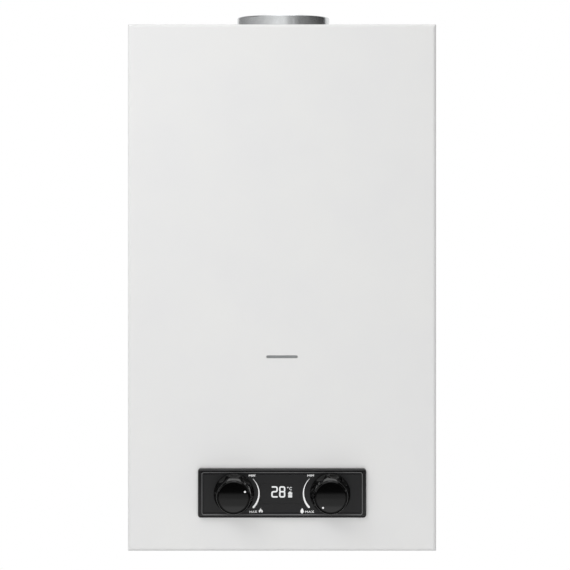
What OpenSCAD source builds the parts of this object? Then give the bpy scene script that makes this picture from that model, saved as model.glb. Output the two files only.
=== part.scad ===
// Wall-hung instantaneous gas water heater with an open flue.
// X runs to the right, Y towards the wall, Z up. The origin is the middle of the back plate's wall face.
// Inside the modules Z counts from the casing's bottom edge, and placed() lowers it to the origin.

/* [Casing] */
// Width of the casing
case_w = 322; // [317:1:350]
// Height of the casing
case_h = 550; // [545:1:600]
// Depth from the wall to the front of the cover
case_d = 165; // [163:1:180]
// Sheet steel thickness of cover, base and back plate
sheet = 1.2; // [0.8:0.1:1.4]
// Outside bend radius of the cover's front edges
bend_r = 4; // [2:0.5:8]
// Width of the cover's bottom lip at the front
lip_front = 18; // [13:0.5:18.5]
// Width of the cover's bottom lips at the sides
lip_side = 8; // [6:1:10]
// Depth of the back plate's folded sides
fold_d = 14; // [8:1:16]

/* [Inspection slot] */
// Length of the slot
slot_w = 33; // [20:1:50]
// Height of the slot
slot_h = 3; // [2:0.5:5]
// Height of the slot above the casing's bottom edge
slot_z = 203; // [200:0.2:230]
// Thickness of the heat-proof glass
glass_t = 2; // [1:0.5:3]

/* [Wall fixing] */
// Spacing of the wall holes
hole_pitch = 200; // [150:1:240]
// Distance of the keyhole entries below the casing's top
keyhole_drop = 60; // [50:1:80]
// Radius of a keyhole's entry
keyhole_r = 6; // [5:0.5:7]
// Width of a keyhole's neck
neck_w = 5.5; // [4:0.5:7]
// Height of the lower wall holes
low_hole_z = 40; // [30:1:50]
// Radius of the lower wall holes
low_hole_r = 3; // [2:0.5:4]

/* [Control fascia] */
// Width of the fascia
fascia_w = 175.4; // [170:0.2:190]
// Height of the fascia
fascia_h = 51.2; // [48:0.1:60]
// How far the fascia stands proud of the cover
fascia_rise = 7; // [5:0.5:10]
// Width of the rolled rim
rim_w = 4.3; // [3:0.1:6]
// Height of the fascia's middle, which is the height of the valve spindles
fascia_z = 61.5; // [60:0.5:66]
// Thickness of the glossy panel
panel_t = 2; // [1.5:0.1:3]
// Width of the display window
window_w = 44; // [36:1:50]
// Height of the display window
window_h = 20; // [18:1:24]
// How far the fascia's rear frame reaches through the cover
spigot_d = 7; // [5:0.5:8]

/* [Knobs] */
// Spacing of the two knobs
knob_pitch = 100; // [96:1:106]
// Diameter of a knob's skirt
knob_d = 42; // [40:0.2:46]
// Diameter at the top edge of a knob
knob_top_d = 35.2; // [34:0.2:37.6]
// Diameter of the flat face
knob_face_d = 31.4; // [28:0.2:32]
// Height of a knob
knob_h = 23.6; // [20:0.2:28]
// Number of finger scallops
scallops = 9; // [6:1:9]
// Depth of a scallop
scallop_depth = 3; // [2:0.1:3.4]
// Angle of the gas knob's uppermost scallop from the vertical
gas_scallop = -2; // [-20:1:20]
// Angle of the water knob's uppermost scallop from the vertical
water_scallop = -10; // [-20:1:20]
// Radius of a valve spindle
spindle_r = 4; // [3:0.1:5]
// Angle of the gas knob's mark above the right-hand horizontal
gas_mark = 27; // [0:1:60]
// Angle of the water knob's mark
water_mark = 232; // [200:1:260]

/* [Flue and heat exchanger] */
// Room for the coil between the wall and the combustion chamber
wall_room = 26; // [24:1:30]
// Room for the coil between the chamber and the front of the cover
front_room = 27; // [24:1:32]
// Room for the pipes on each side of the chamber
side_room = 61; // [56:0.5:66]
// Height of the combustion chamber
chamber_h = 160; // [158:1:170]
// Height of the chamber's lower edge
chamber_z = 212; // [210:1:218]
// Thickness of the chamber's copper sheet
copper_t = 1.2; // [0.8:0.1:1.6]
// Outside corner radius of the chamber
chamber_r = 9.2; // [6:0.2:12]
// Height of the finned exchanger
exch_h = 40; // [36:1:44]
// Spacing of the fins
fin_pitch = 6; // [5:0.1:6.4]
// Thickness of a fin
fin_t = 0.6; // [0.4:0.1:1]
// Radius of the water tubes
tube_r = 6.5; // [5.5:0.1:7]
// Wall of the water tubes
tube_wall = 1; // [0.6:0.1:1.4]
// Distance of the outermost tubes from the chamber's front and back
pass_margin = 16; // [12:0.5:20]
// Bend radius of the pipes
pipe_bend = 16; // [14:0.5:18]
// Distance of the flue collar from the hood's front and back
collar_inset = 6; // [5.5:0.5:14]
// How far the collar stands above the casing
collar_rise = 13; // [10:1:40]
// How far the flue's axis lies to the right of the casing's middle
flue_x = 1.8; // [0:0.2:4]

/* [Burner] */
// How much narrower than the chamber the burner frame is on each side
burner_side = 5; // [3:0.5:8]
// How much shallower than the chamber the burner frame is, front and back
burner_inset = 12; // [11:0.5:14]
// Height of the burner frame
burner_h = 46; // [44:1:50]
// Height of the gap between burner and chamber
flame_gap = 16; // [15:0.5:18]
// Spacing of the burner bars
bar_pitch = 18; // [17.4:0.1:18.6]
// Side of the square gas manifold
manifold_s = 16; // [13:0.5:18]
// Radius of an injector
injector_r = 3.5; // [2.5:0.1:4.5]

/* [Connections] */
// Distance from the wall to the pipe connections
conn_y = 60; // [56:1:64]
// Distance of the hot outlet from the casing's side
hot_inset = 25; // [23:0.5:28]
// Radius of the lock nuts' thread
lock_r = 11; // [10.6:0.1:12]
// Outside radius of the pipe thread
thread_r = 10.48; // [8:0.02:12]
// How far the threads reach below the casing
conn_drop = 16; // [12:1:20]

/* [Batteries] */
// Radius of a battery cell
cell_r = 16.5; // [13:0.1:16.8]
// Length of a battery cell
cell_len = 60; // [50:0.5:61]
// Wall of the battery box
box_wall = 2; // [1.5:0.1:2.2]
// Distance of the battery box from the casing's side
box_inset = 12.7; // [11:0.1:18]

/* [Hidden] */
$fn = 64;

// Clearances
fit_gap = 0.3;
run_gap = 0.05;
seat_gap = 0.1;
cut = 1;

// Casing levels
cover_back = 1;
inner_half = case_w / 2 - sheet;
inner_front = case_d - sheet;
inner_bend = max(bend_r - sheet, 0.5);
base_top = 2 * sheet;
keyhole_z = case_h - keyhole_drop;

// Flue stack sizes and levels
chamber_w = case_w - 2 * side_room;
chamber_d = case_d - wall_room - front_room;
stack_y = wall_room + chamber_d / 2;
collar_r = chamber_d / 2 - collar_inset;
notch_r = collar_r + 4;
collar_foot = 5;
collar_bead = 1.6;
pass_pitch = (chamber_d - 2 * pass_margin) / 4;
fins = floor((chamber_w - 2 * copper_t - 12) / fin_pitch);
burner_z = chamber_z - flame_gap - burner_h;
exch_z = chamber_z + chamber_h;
hood_z = exch_z + exch_h;
hood_top = case_h - 25;
tube_z = exch_z + exch_h / 2;
coil_x = chamber_w / 2 + tube_r + fit_gap;
coil_front = -stack_y - chamber_d / 2 - tube_r - fit_gap;
coil_back = -stack_y + chamber_d / 2 + tube_r + fit_gap;
pass_y = [for (i = [-2 : 2]) -stack_y - i * pass_pitch];
u_bend = pass_pitch / 2 - 0.1;
u_x = chamber_w / 2 + 12;
tube_end = u_x + 4;

// Burner sizes and levels
burner_w = chamber_w - 2 * burner_side;
burner_d = chamber_d - 2 * burner_inset;
bars = floor((burner_w - 6) / bar_pitch);
jet_z = burner_z + 11;
ledge_t = 1.2;
bar_z = burner_z + ledge_t;
bar_len = burner_d - 2 * ledge_t - 2 * fit_gap;
burner_front = -stack_y + 4 - burner_d / 2;
burner_back = burner_front + burner_d;
jet_len = 13;
manifold_y = burner_front - jet_len - manifold_s / 2;

// Valves
knob_x = knob_pitch / 2;
valve_back = conn_y + 2 * pipe_bend;
valve_front = case_d - 13;
valve_low = fascia_z - 27.5;
valve_high = fascia_z + 30.5;
boss_r = spindle_r + 6;
boss_front = case_d - 8;
spindle_back = case_d - 34;
rod_y = -(case_d - 47);
rod_r = 3;
flange_r = 33;
feed_x = knob_x + 8;

// Front stack from the cover outwards
panel_front = case_d + fascia_rise;
knob_back = panel_front + 0.4;
spindle_front = knob_back + 13.6;

// Battery box
cell_gap = 1.3;
box_in_w = 4 * cell_r + 2 * cell_gap;
box_in_d = cell_len + 4;
box_w = box_in_w + 2 * box_wall;
box_d = box_in_d + 2 * box_wall;
box_x = case_w / 2 - box_inset - box_w / 2;
box_y = -(case_d - 53);
cell_z = sheet + cell_r;
box_top = cell_z + cell_r + fit_gap + box_wall;
box_back = box_y + box_d / 2;
box_front = box_y - box_d / 2;
hinge_z = -1.4;
hinge_r = 2;
pin_r = 1;
lug_w = 2.5;

function unit(v) = v / norm(v);

module placed() {
    translate([0, 0, -case_h / 2]) children();
}

// A block given by its lowest and highest corners.
module block(a, b) {
    translate(a) cube(b - a);
}

// A rectangle with round corners, centred.
module rounded(w, h, r) {
    square([w - 2 * r, h], center = true);
    square([w, h - 2 * r], center = true);
    for (x = [-1, 1], y = [-1, 1])
        translate([x * (w / 2 - r), y * (h / 2 - r)]) circle(r);
}

// A slot with round ends along X, centred.
module obround(w, h) {
    square([w - h, h], center = true);
    for (x = [-1, 1]) translate([x * (w - h) / 2, 0]) circle(h / 2);
}

// Turns a shape's own Z to the front and its own Y up.
module to_front(x, y, z) {
    translate([x, y, z]) rotate([90, 0, 0]) children();
}

// Turns a shape's own Z to the right.
module to_right(x, y, z) {
    translate([x, y, z]) rotate([0, 90, 0]) children();
}

// A round section, with a bore if one is given.
module section(r, bore) {
    difference() {
        circle(r);
        if (bore > 0) circle(bore);
    }
}

// A straight round bar or tube between two points.
module bar(a, b, r, bore = 0) {
    d = unit(b - a);
    translate(a) rotate([0, acos(d.z), atan2(d.y, d.x)]) linear_extrude(norm(b - a)) section(r, bore);
}

// A quarter bend round corner v, from direction d_in to direction d_out.
module elbow(v, d_in, d_out, r, bend, bore = 0) {
    c = v - bend * d_in + bend * d_out;
    x = -d_out;
    y = d_in;
    z = cross(x, y);
    multmatrix([[x.x, y.x, z.x, c.x], [x.y, y.y, z.y, c.y], [x.z, y.z, z.z, c.z], [0, 0, 0, 1]])
        rotate_extrude(angle = 90) translate([bend, 0]) section(r, bore);
}

// A round bar along a path of square corners; bore, if any, runs through all of it.
module bent_bar(path, r, bend, bore = 0) {
    last = len(path) - 1;
    for (i = [0 : last - 1]) {
        d = unit(path[i + 1] - path[i]);
        a = path[i] + (i == 0 ? 0 : bend) * d;
        b = path[i + 1] - (i == last - 1 ? 0 : bend) * d;
        bar(a, b, r, bore);
    }
    for (i = [1 : 1 : last - 1])
        elbow(path[i], unit(path[i] - path[i - 1]), unit(path[i + 1] - path[i]), r, bend, bore);
}

// A pipe with a bore along a path of square corners.
module pipe(path, bend = pipe_bend) {
    bent_bar(path, tube_r, bend, tube_r - tube_wall);
}

// The plan of a box with round front corners, its back on the X axis.
module front_rounded(w, d, r) {
    translate([-w / 2, -d + r]) square([w, d - r]);
    translate([-w / 2 + r, -d]) square([w - 2 * r, d]);
    for (x = [-1, 1]) translate([x * (w / 2 - r), -d + r]) circle(r);
}

// A box rounded along its four front edges: its back at -y_back, its front at -d.
module dished_box(w, z_low, z_high, d, r, y_back) {
    intersection() {
        translate([0, -y_back, z_low])
            linear_extrude(z_high - z_low) front_rounded(w, d - y_back, r);
        translate([-w / 2, -y_back, (z_low + z_high) / 2]) rotate([0, 90, 0])
            linear_extrude(w) front_rounded(z_high - z_low, d - y_back, r);
    }
}

// A plate with a rolled rim, bw wide and bt deep, its front face up along its own Z. The roll is a quarter of a
// superellipse of the fourth degree: nearly a straight wall, then a tight bend, then nearly flat.
module bevelled_plate(w, h, t, bw, bt, r) {
    intersection() {
        rotate([90, 0, 0]) linear_extrude(2 * h, center = true) rim_profile(w, t, bw, bt);
        rotate([90, 0, 90]) linear_extrude(2 * w, center = true) rim_profile(h, t, bw, bt);
        linear_extrude(t) rounded(w, h, r);
    }
}

module rim_profile(w, t, bw, bt) {
    roll = [for (a = [0 : 30 : 90]) [w / 2 - bw * (1 - sqrt(cos(a))), t - bt * (1 - sqrt(sin(a)))]];
    polygon(concat([[-w / 2, 0], [w / 2, 0]], roll, [for (i = [3 : -1 : 0]) [-roll[i].x, roll[i].y]]));
}

// A closed ring of sheet with the chamber's section, standing on height z.
module chamber_ring(z, h) {
    translate([0, -stack_y, z]) linear_extrude(h) difference() {
        rounded(chamber_w, chamber_d, chamber_r);
        rounded(chamber_w - 2 * copper_t, chamber_d - 2 * copper_t, chamber_r - copper_t);
    }
}

// Casing

// Places of the two screws through the cover's front lip and of the three through the base's rear flange.
cover_screw_x = [-case_w * 0.19, case_w * 0.19];
cover_screw_y = -(case_d - lip_front + 4);
base_screw_x = [-case_w / 3, 0, case_w / 3];
base_screw_z = base_top + 6;
screw_r = 2;
head_r = 3.8;
head_h = 1.5;
base_fold = 12;
vent_size = [20, 4];
vent_pitch = [26, 9];
vent_y = -(case_d - 24.5);
bracket_x = 60;

module front_cover() placed() color("whitesmoke") difference() {
    dished_box(case_w, 0, case_h, case_d, bend_r, cover_back);
    dished_box(case_w - 2 * sheet, sheet, case_h - sheet, inner_front, inner_bend, -cut);
    block([-inner_half + lip_side - sheet, -case_d + lip_front, -cut],
        [inner_half - lip_side + sheet, cut, sheet + cut]);
    translate([flue_x, -stack_y, case_h - sheet - cut]) {
        cylinder(h = sheet + 2 * cut, r = notch_r);
        translate([-notch_r, 0, 0]) cube([2 * notch_r, stack_y + cut, sheet + 2 * cut]);
    }
    to_front(0, -inner_front + cut, slot_z) linear_extrude(sheet + 2 * cut) obround(slot_w, slot_h);
    to_front(0, -inner_front + cut, fascia_z)
        linear_extrude(sheet + 2 * cut) rounded(spigot_w + 2 * fit_gap, spigot_h + 2 * fit_gap, 3);
    for (x = cover_screw_x)
        translate([x, cover_screw_y, -cut]) cylinder(h = sheet + 2 * cut, r = screw_r + seat_gap);
}

module inspection_glass() placed() color("lightcyan", 0.5)
    to_front(0, -inner_front + glass_t, slot_z)
        linear_extrude(glass_t) rounded(slot_w + 12, slot_h + 10, 2);

module back_plate() placed() color("gainsboro") {
    half = inner_half - fit_gap;
    difference() {
        union() {
            block([-half, -sheet, base_top], [half, 0, case_h - sheet - fit_gap]);
            for (x = [-half, half - sheet])
                block([x, -fold_d, base_top + sheet], [x + sheet, 0, case_h - sheet - fit_gap]);
            block([flue_x - notch_r + fit_gap, -stack_y + notch_r + 2, case_h - sheet - fit_gap],
                [flue_x + notch_r - fit_gap, 0, case_h - fit_gap]);
        }
        for (x = [-hole_pitch / 2, hole_pitch / 2]) {
            to_front(x, cut, keyhole_z) cylinder(h = sheet + 2 * cut, r = keyhole_r);
            to_front(x, cut, keyhole_z + keyhole_r) rotate([0, 0, 90])
                linear_extrude(sheet + 2 * cut) obround(2 * keyhole_r + neck_w, neck_w);
            to_front(x, cut, low_hole_z) cylinder(h = sheet + 2 * cut, r = low_hole_r);
        }
        for (x = base_screw_x)
            to_front(x, cut, base_screw_z) cylinder(h = sheet + 2 * cut, r = screw_r + seat_gap);
    }
}

module base_plate() placed() color("gainsboro") {
    half = inner_half - fit_gap;
    difference() {
        union() {
            block([-half, -inner_front + inner_bend + fit_gap, sheet], [half, -sheet, base_top]);
            block([-half + fold_d, -2 * sheet, sheet], [half - fold_d, -sheet, base_top + base_fold]);
        }
        for (p = nipple_places)
            translate([p.x, p.y, 0]) cylinder(h = base_top + cut, r = lock_r + fit_gap);
        translate([drain_x, drain_y, 0]) cylinder(h = base_top + cut, r = drain_r + 1);
        block([box_x - box_w / 2 - fit_gap, box_front - fit_gap, 0],
            [box_x + box_w / 2 + fit_gap, box_back + fit_gap, base_top + cut]);
        for (x = [-3 : 0], y = [0 : 2])
            translate([x * vent_pitch.x - 14, vent_y + y * vent_pitch.y, 0])
                linear_extrude(base_top + cut) obround(vent_size.x, vent_size.y);
        for (x = cover_screw_x)
            translate([x, cover_screw_y, 0]) cylinder(h = base_top + cut, r = screw_r + seat_gap);
        for (x = base_screw_x)
            to_front(x, 0, base_screw_z) cylinder(h = 3 * sheet, r = screw_r + seat_gap);
    }
}

// A pan-head screw along its own Z: its head stands on height 0, its shank goes below.
module screw(len) {
    rotate_extrude() polygon([[0, -len], [screw_r, -len], [screw_r, 0], [head_r, 0], [head_r, head_h * 0.5],
        [head_r - 1, head_h], [0, head_h]]);
}

module cover_screws() placed() color("silver")
    for (x = cover_screw_x) translate([x, cover_screw_y, 0]) rotate([180, 0, 0]) screw(7);

module base_screws() placed() color("silver")
    for (x = base_screw_x) to_front(x, -2 * sheet, base_screw_z) screw(2 * sheet - 0.2);

// A folded sheet bracket from the back plate to a face that lies y_far from the wall.
module bracket(x, z, h, y_far) {
    foot = 14;
    block([x - sheet / 2, -y_far, z], [x + sheet / 2, -sheet, z + h]);
    block([x - foot / 2, -2 * sheet, z], [x + foot / 2, -sheet, z + h]);
    block([x - foot / 2, -y_far, z], [x + foot / 2, -y_far + sheet, z + h]);
}

module stack_brackets() placed() color("silver") {
    bracket_h = 16;
    chamber_back = stack_y - chamber_d / 2;
    for (x = [-bracket_x, bracket_x]) {
        bracket(x, burner_z + 15, bracket_h, -burner_back);
        bracket(x, chamber_z + 48, bracket_h, chamber_back);
        bracket(x, hood_z + 6, bracket_h, chamber_back);
    }
}

// Burner

bar_x = [for (i = [0 : bars - 1]) (i - (bars - 1) / 2) * bar_pitch];
electrode_x = 30;
electrode_y = burner_front - 5.5;
ceramic_r = 4;
shelf_z = burner_z + 30;

module burner_frame() placed() color("silver") {
    half = burner_w / 2;
    difference() {
        union() {
            difference() {
                block([-half, burner_front, burner_z], [half, burner_back, burner_z + burner_h]);
                block([-half + ledge_t, burner_front + ledge_t, bar_z],
                    [half - ledge_t, burner_back - ledge_t, burner_z + burner_h + cut]);
                block([-half + 8, burner_front + 8, burner_z - cut], [half - 8, burner_back - 8, bar_z + cut]);
            }
            for (x = [-electrode_x, electrode_x])
                block([x - 7, electrode_y - 6, shelf_z], [x + 7, burner_front, shelf_z + ledge_t]);
        }
        for (x = bar_x)
            to_front(x, burner_front + ledge_t + cut, jet_z)
                cylinder(h = ledge_t + 2 * cut, r = injector_r + 1.5);
        for (x = [-electrode_x, electrode_x])
            translate([x, electrode_y, shelf_z - cut])
                cylinder(h = ledge_t + 2 * cut, r = ceramic_r + seat_gap);
    }
}

// One blade-shaped bar: a mixing tube below, a flat web, and a head with rows of flame slots.
module burner_bar(x) {
    head_w = 12;
    head_h = 12;
    web_w = 6;
    top = burner_z + burner_h + 1;
    front = burner_front + ledge_t + fit_gap;
    slot_pitch = 8;
    slots = floor((bar_len - 8) / slot_pitch);
    difference() {
        translate([x, front + bar_len, 0]) rotate([90, 0, 0]) linear_extrude(bar_len) {
            translate([0, jet_z]) circle(bar_pitch / 2 - 0.7);
            translate([-web_w / 2, bar_z]) square([web_w, top - head_h - bar_z + 1]);
            translate([-head_w / 2, top - head_h]) square([head_w, head_h - 2]);
            translate([-head_w / 2 + 1, top - 3]) square([head_w - 2, 3]);
        }
        to_front(x, front + bar_len - 12, jet_z) cylinder(h = bar_len, r = injector_r + 2);
        for (i = [0 : slots - 1])
            block([x - head_w / 2 - cut, front + 8 + i * slot_pitch, top - 4],
                [x + head_w / 2 + cut, front + 8 + i * slot_pitch + 2, top + cut]);
    }
}

module burner_bars() placed() color("darkgray")
    for (x = bar_x) burner_bar(x);

riser_r = 8;
manifold_low = jet_z - manifold_s / 2;

module gas_manifold() placed() color("lightgray") {
    half = max(bar_x) + 11;
    difference() {
        block([-half, manifold_y - manifold_s / 2, manifold_low],
            [half, manifold_y + manifold_s / 2, manifold_low + manifold_s]);
        to_right(-half + 2, manifold_y, jet_z) cylinder(h = 2 * half - 4, r = manifold_s / 2 - 3);
    }
    translate([-knob_x, manifold_y, valve_high]) cylinder(h = manifold_low - valve_high, r = riser_r);
}

module injectors() placed() color("goldenrod")
    for (x = bar_x) to_front(x, burner_front + 1, jet_z) difference() {
        union() {
            cylinder(h = jet_len + 1, r = injector_r);
            translate([0, 0, jet_len - 5]) cylinder(h = 6, r = injector_r + 1.5, $fn = 6);
        }
        translate([0, 0, -cut]) cylinder(h = 5, r = 0.8);
    }

// A ceramic body in the frame's shelf with a bent wire that reaches over the bars.
module electrode(x, reach) {
    low = shelf_z - 8;
    tip_z = burner_z + burner_h + flame_gap / 2 - 1;
    translate([x, electrode_y, low]) rotate_extrude() polygon([[0, 0], [ceramic_r - 1, 0], [ceramic_r - 1, 6],
        [ceramic_r, 6], [ceramic_r, 8], [ceramic_r, 16], [ceramic_r - 1.5, 22], [0, 22]]);
    bent_bar([[x, electrode_y, low + 20], [x, electrode_y, tip_z], [x, electrode_y + reach, tip_z]], 0.9, 2);
}

module spark_electrode() placed() color("ivory") electrode(electrode_x, 14);

module flame_electrode() placed() color("ivory") electrode(-electrode_x, 22);

// Heat exchanger and flue

module combustion_chamber() placed() color("peru") chamber_ring(chamber_z, chamber_h);

// The cold water winds three times round the chamber, each turn a level higher, and ends in the fin block.
module chamber_coil() placed() color("peru") {
    level = [for (i = [0 : 2]) chamber_z + 2 * pipe_bend + i * (3 * pipe_bend + 1)];
    riser_x = coil_x + 2 * pipe_bend + 0.7;
    step_x = [62, 12];
    start = [[coil_x, rod_y, chamber_z + 3], [coil_x, rod_y, level[0]]];
    first = [[coil_x, coil_back, level[0]], [-coil_x, coil_back, level[0]], [-coil_x, coil_front, level[0]],
        [step_x[0], coil_front, level[0]], [step_x[0], coil_front, level[1]], [coil_x, coil_front, level[1]]];
    second = [[coil_x, coil_back, level[1]], [-coil_x, coil_back, level[1]], [-coil_x, coil_front, level[1]],
        [step_x[1], coil_front, level[1]], [step_x[1], coil_front, level[2]], [coil_x, coil_front, level[2]]];
    end = [[coil_x, pass_y[0], level[2]], [riser_x, pass_y[0], level[2]], [riser_x, pass_y[0], tube_z],
        [tube_end, pass_y[0], tube_z]];
    pipe(concat(start, first, second, end));
}

module tube_holes(x, h) {
    for (y = pass_y) to_right(x, y, tube_z) cylinder(h = h, r = tube_r + seat_gap);
}

module exchanger_case() placed() color("peru") difference() {
    chamber_ring(exch_z, exch_h);
    tube_holes(-chamber_w, 2 * chamber_w);
}

module exchanger_fins() placed() color("darkgoldenrod") {
    fin_d = chamber_d - 2 * copper_t - 2 * fit_gap;
    fin_low = exch_z + 2;
    for (i = [0 : fins - 1]) {
        x = (i - (fins - 1) / 2) * fin_pitch - fin_t / 2;
        difference() {
            block([x, -stack_y - fin_d / 2, fin_low], [x + fin_t, -stack_y + fin_d / 2, exch_z + exch_h - 2]);
            tube_holes(x - cut, fin_t + 2 * cut);
        }
    }
}

// Five passes through the fins, joined by return bends outside the case.
module exchanger_tubes() placed() color("peru") {
    inner = [for (i = [0 : 3], side = [0, 1])
        [i % 2 == 0 ? -u_x : u_x, pass_y[i + side], tube_z]];
    pipe(concat([[tube_end, pass_y[0], tube_z]], inner, [[-tube_end, pass_y[4], tube_z]]), u_bend);
}

// The hood's front outline: as wide as the chamber below, drawn in to the collar above.
module hood_outline(inset) {
    half = chamber_w / 2 - inset;
    neck = collar_r + 16 - inset;
    low = hood_z - (inset > 0 ? cut : 0);
    polygon([[-half, low], [half, low], [half, hood_z + 28], [neck, hood_top - 20], [neck, hood_top - inset],
        [-neck, hood_top - inset], [-neck, hood_top - 20], [-half, hood_z + 28]]);
}

module draught_hood() placed() color("silver") difference() {
    to_front(0, -stack_y + chamber_d / 2, 0) linear_extrude(chamber_d) hood_outline(0);
    to_front(0, -stack_y + chamber_d / 2 - copper_t, 0)
        linear_extrude(chamber_d - 2 * copper_t) hood_outline(copper_t);
    translate([flue_x, -stack_y, hood_top - 5]) cylinder(h = 10, r = collar_r - sheet);
    to_front(0, -stack_y, hood_z + 14) linear_extrude(chamber_d) obround(chamber_w * 0.8, 14);
}

// The spigot for the flue pipe: a foot ring on the hood, a straight tube and a rolled bead at the rim.
module flue_collar() placed() color("darkgray") {
    top = case_h + collar_rise;
    translate([flue_x, -stack_y, 0]) rotate_extrude() difference() {
        union() {
            translate([collar_r - sheet, hood_top]) square([sheet, top - hood_top - collar_bead]);
            translate([collar_r - sheet, hood_top]) square([sheet + collar_foot, sheet]);
            translate([collar_r - collar_bead, top - collar_bead]) circle(collar_bead, $fn = 32);
        }
        square([collar_r - 2 * collar_bead, 2 * case_h]);
    }
}

// Pipes and connections

spigot_w = fascia_w - 2 * rim_w;
spigot_h = fascia_h - 2 * rim_w;
hot_x = case_w / 2 - hot_inset;
nipple_places = [[-hot_x, -conn_y], [-knob_x, -conn_y], [knob_x, -conn_y]];
neck_top = base_top + 27.6;
nut_h = 5;
nut_low = sheet - nut_h;
groove_h = 1.2;
inlet_z = fascia_z - 5.5;
inlet_y = -valve_back + 5;
water_front = valve_front - 4;
water_low = fascia_z - 23.5;
water_high = fascia_z + 26.5;
feed_z = water_high + 30;
hot_turn_z = 140;

module hot_pipe() placed() color("peru") pipe([[-tube_end, pass_y[4], tube_z], [-hot_x, pass_y[4], tube_z],
    [-hot_x, pass_y[4], hot_turn_z], [-hot_x, -conn_y, hot_turn_z], [-hot_x, -conn_y, neck_top]]);

module cold_feed_pipe() placed() color("peru") pipe([[feed_x, rod_y, water_high], [feed_x, rod_y, feed_z],
    [coil_x, rod_y, feed_z], [coil_x, rod_y, chamber_z + 3]]);

module inlet_pipe(x) {
    pipe([[x, inlet_y, inlet_z], [x, -conn_y, inlet_z], [x, -conn_y, neck_top]]);
}

module cold_inlet_pipe() placed() color("peru") inlet_pipe(knob_x);

module gas_inlet_pipe() placed() color("peru") inlet_pipe(-knob_x);

// A threaded nipple: a hexagon rests on the base plate, the lock nut's thread goes through it, the pipe's thread
// hangs below a run-out groove, and a neck takes the copper pipe.
module nipple(p) {
    hex_h = 8;
    groove_low = nut_low - groove_h;
    translate([p.x, p.y, 0]) difference() {
        union() {
            translate([0, 0, -conn_drop]) cylinder(h = conn_drop + groove_low, r = thread_r);
            translate([0, 0, groove_low]) cylinder(h = groove_h, r = thread_r - 1);
            translate([0, 0, nut_low]) cylinder(h = base_top - nut_low, r = lock_r);
            translate([0, 0, base_top]) cylinder(h = hex_h, r = lock_r + 4, $fn = 6);
            translate([0, 0, base_top]) cylinder(h = neck_top - base_top, r = tube_r + 2.5);
        }
        translate([0, 0, -conn_drop - cut]) cylinder(h = conn_drop + base_top + hex_h, r = thread_r - 3.5);
        cylinder(h = neck_top + cut, r = tube_r - tube_wall);
    }
}

module hot_nipple() placed() color("goldenrod") nipple(nipple_places[0]);

module gas_nipple() placed() color("goldenrod") nipple(nipple_places[1]);

module cold_nipple() placed() color("goldenrod") nipple(nipple_places[2]);

module nipple_nuts() placed() color("goldenrod")
    for (p = nipple_places) translate([p.x, p.y, nut_low]) difference() {
        rotate([0, 0, 30]) cylinder(h = nut_h, r = lock_r + 4.5, $fn = 6);
        translate([0, 0, -cut]) cylinder(h = nut_h + 2 * cut, r = lock_r + seat_gap);
    }

// Gas valve

gas_right = -knob_x + 28;
gas_body_w = 58;
bore_gap = 0.08;

module spindle_bore(x) {
    to_front(x, -spindle_back + 0.5, fascia_z)
        cylinder(h = boss_front - spindle_back + 0.5 + cut, r = spindle_r + run_gap);
}

module gas_valve_body() placed() color("silver") difference() {
    union() {
        translate([gas_right - gas_body_w / 2, -(valve_front + valve_back) / 2, valve_low])
            linear_extrude(valve_high - valve_low) rounded(gas_body_w, valve_front - valve_back, 6);
        to_front(-knob_x, -valve_front, fascia_z) cylinder(h = boss_front - valve_front, r = boss_r);
        to_front(-knob_x, inlet_y, inlet_z) cylinder(h = valve_back + inlet_y, r = tube_r + 3);
    }
    spindle_bore(-knob_x);
    to_right(gas_right - 9, rod_y, fascia_z) cylinder(h = 9 + cut, r = rod_r + bore_gap);
}

module gas_valve_bonnet() placed() color("silver") to_right(gas_right, rod_y, fascia_z)
    rotate_extrude() polygon([[rod_r + bore_gap, 0], [20, 0], [20, 3], [14, 3], [12, 8],
        [rod_r + bore_gap, 8]]);

module gas_solenoid() placed() color("dimgray") translate([gas_right - 44, -valve_back - 16, valve_high])
    rotate_extrude() polygon([[0, 0], [11, 0], [11, 4], [13, 5], [13, 31], [11, 33], [6, 33], [6, 36],
        [0, 36]]);

// A valve spindle with a retaining collar in front of its boss and a flat for the knob.
module spindle(x) {
    collar_y = boss_front + fit_gap;
    difference() {
        union() {
            to_front(x, -spindle_back, fascia_z) cylinder(h = spindle_front - spindle_back, r = spindle_r);
            to_front(x, -collar_y, fascia_z) cylinder(h = 1.5, r = spindle_r + 2);
        }
        block([x - spindle_r, -spindle_front - cut, fascia_z + spindle_r * 0.6],
            [x + spindle_r, -knob_back, fascia_z + 2 * spindle_r]);
    }
}

module gas_spindle() placed() color("silver") spindle(-knob_x);

module water_spindle() placed() color("silver") spindle(knob_x);

// Knobs

cap_t = 1.2;
cap_r = knob_face_d / 2 - 0.4;
skirt_h = 2.5;
rim_h = 2.6;
scallop_r = 9.5;
mark_r = 1.4;
mark_at = cap_r - 2.1;

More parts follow.
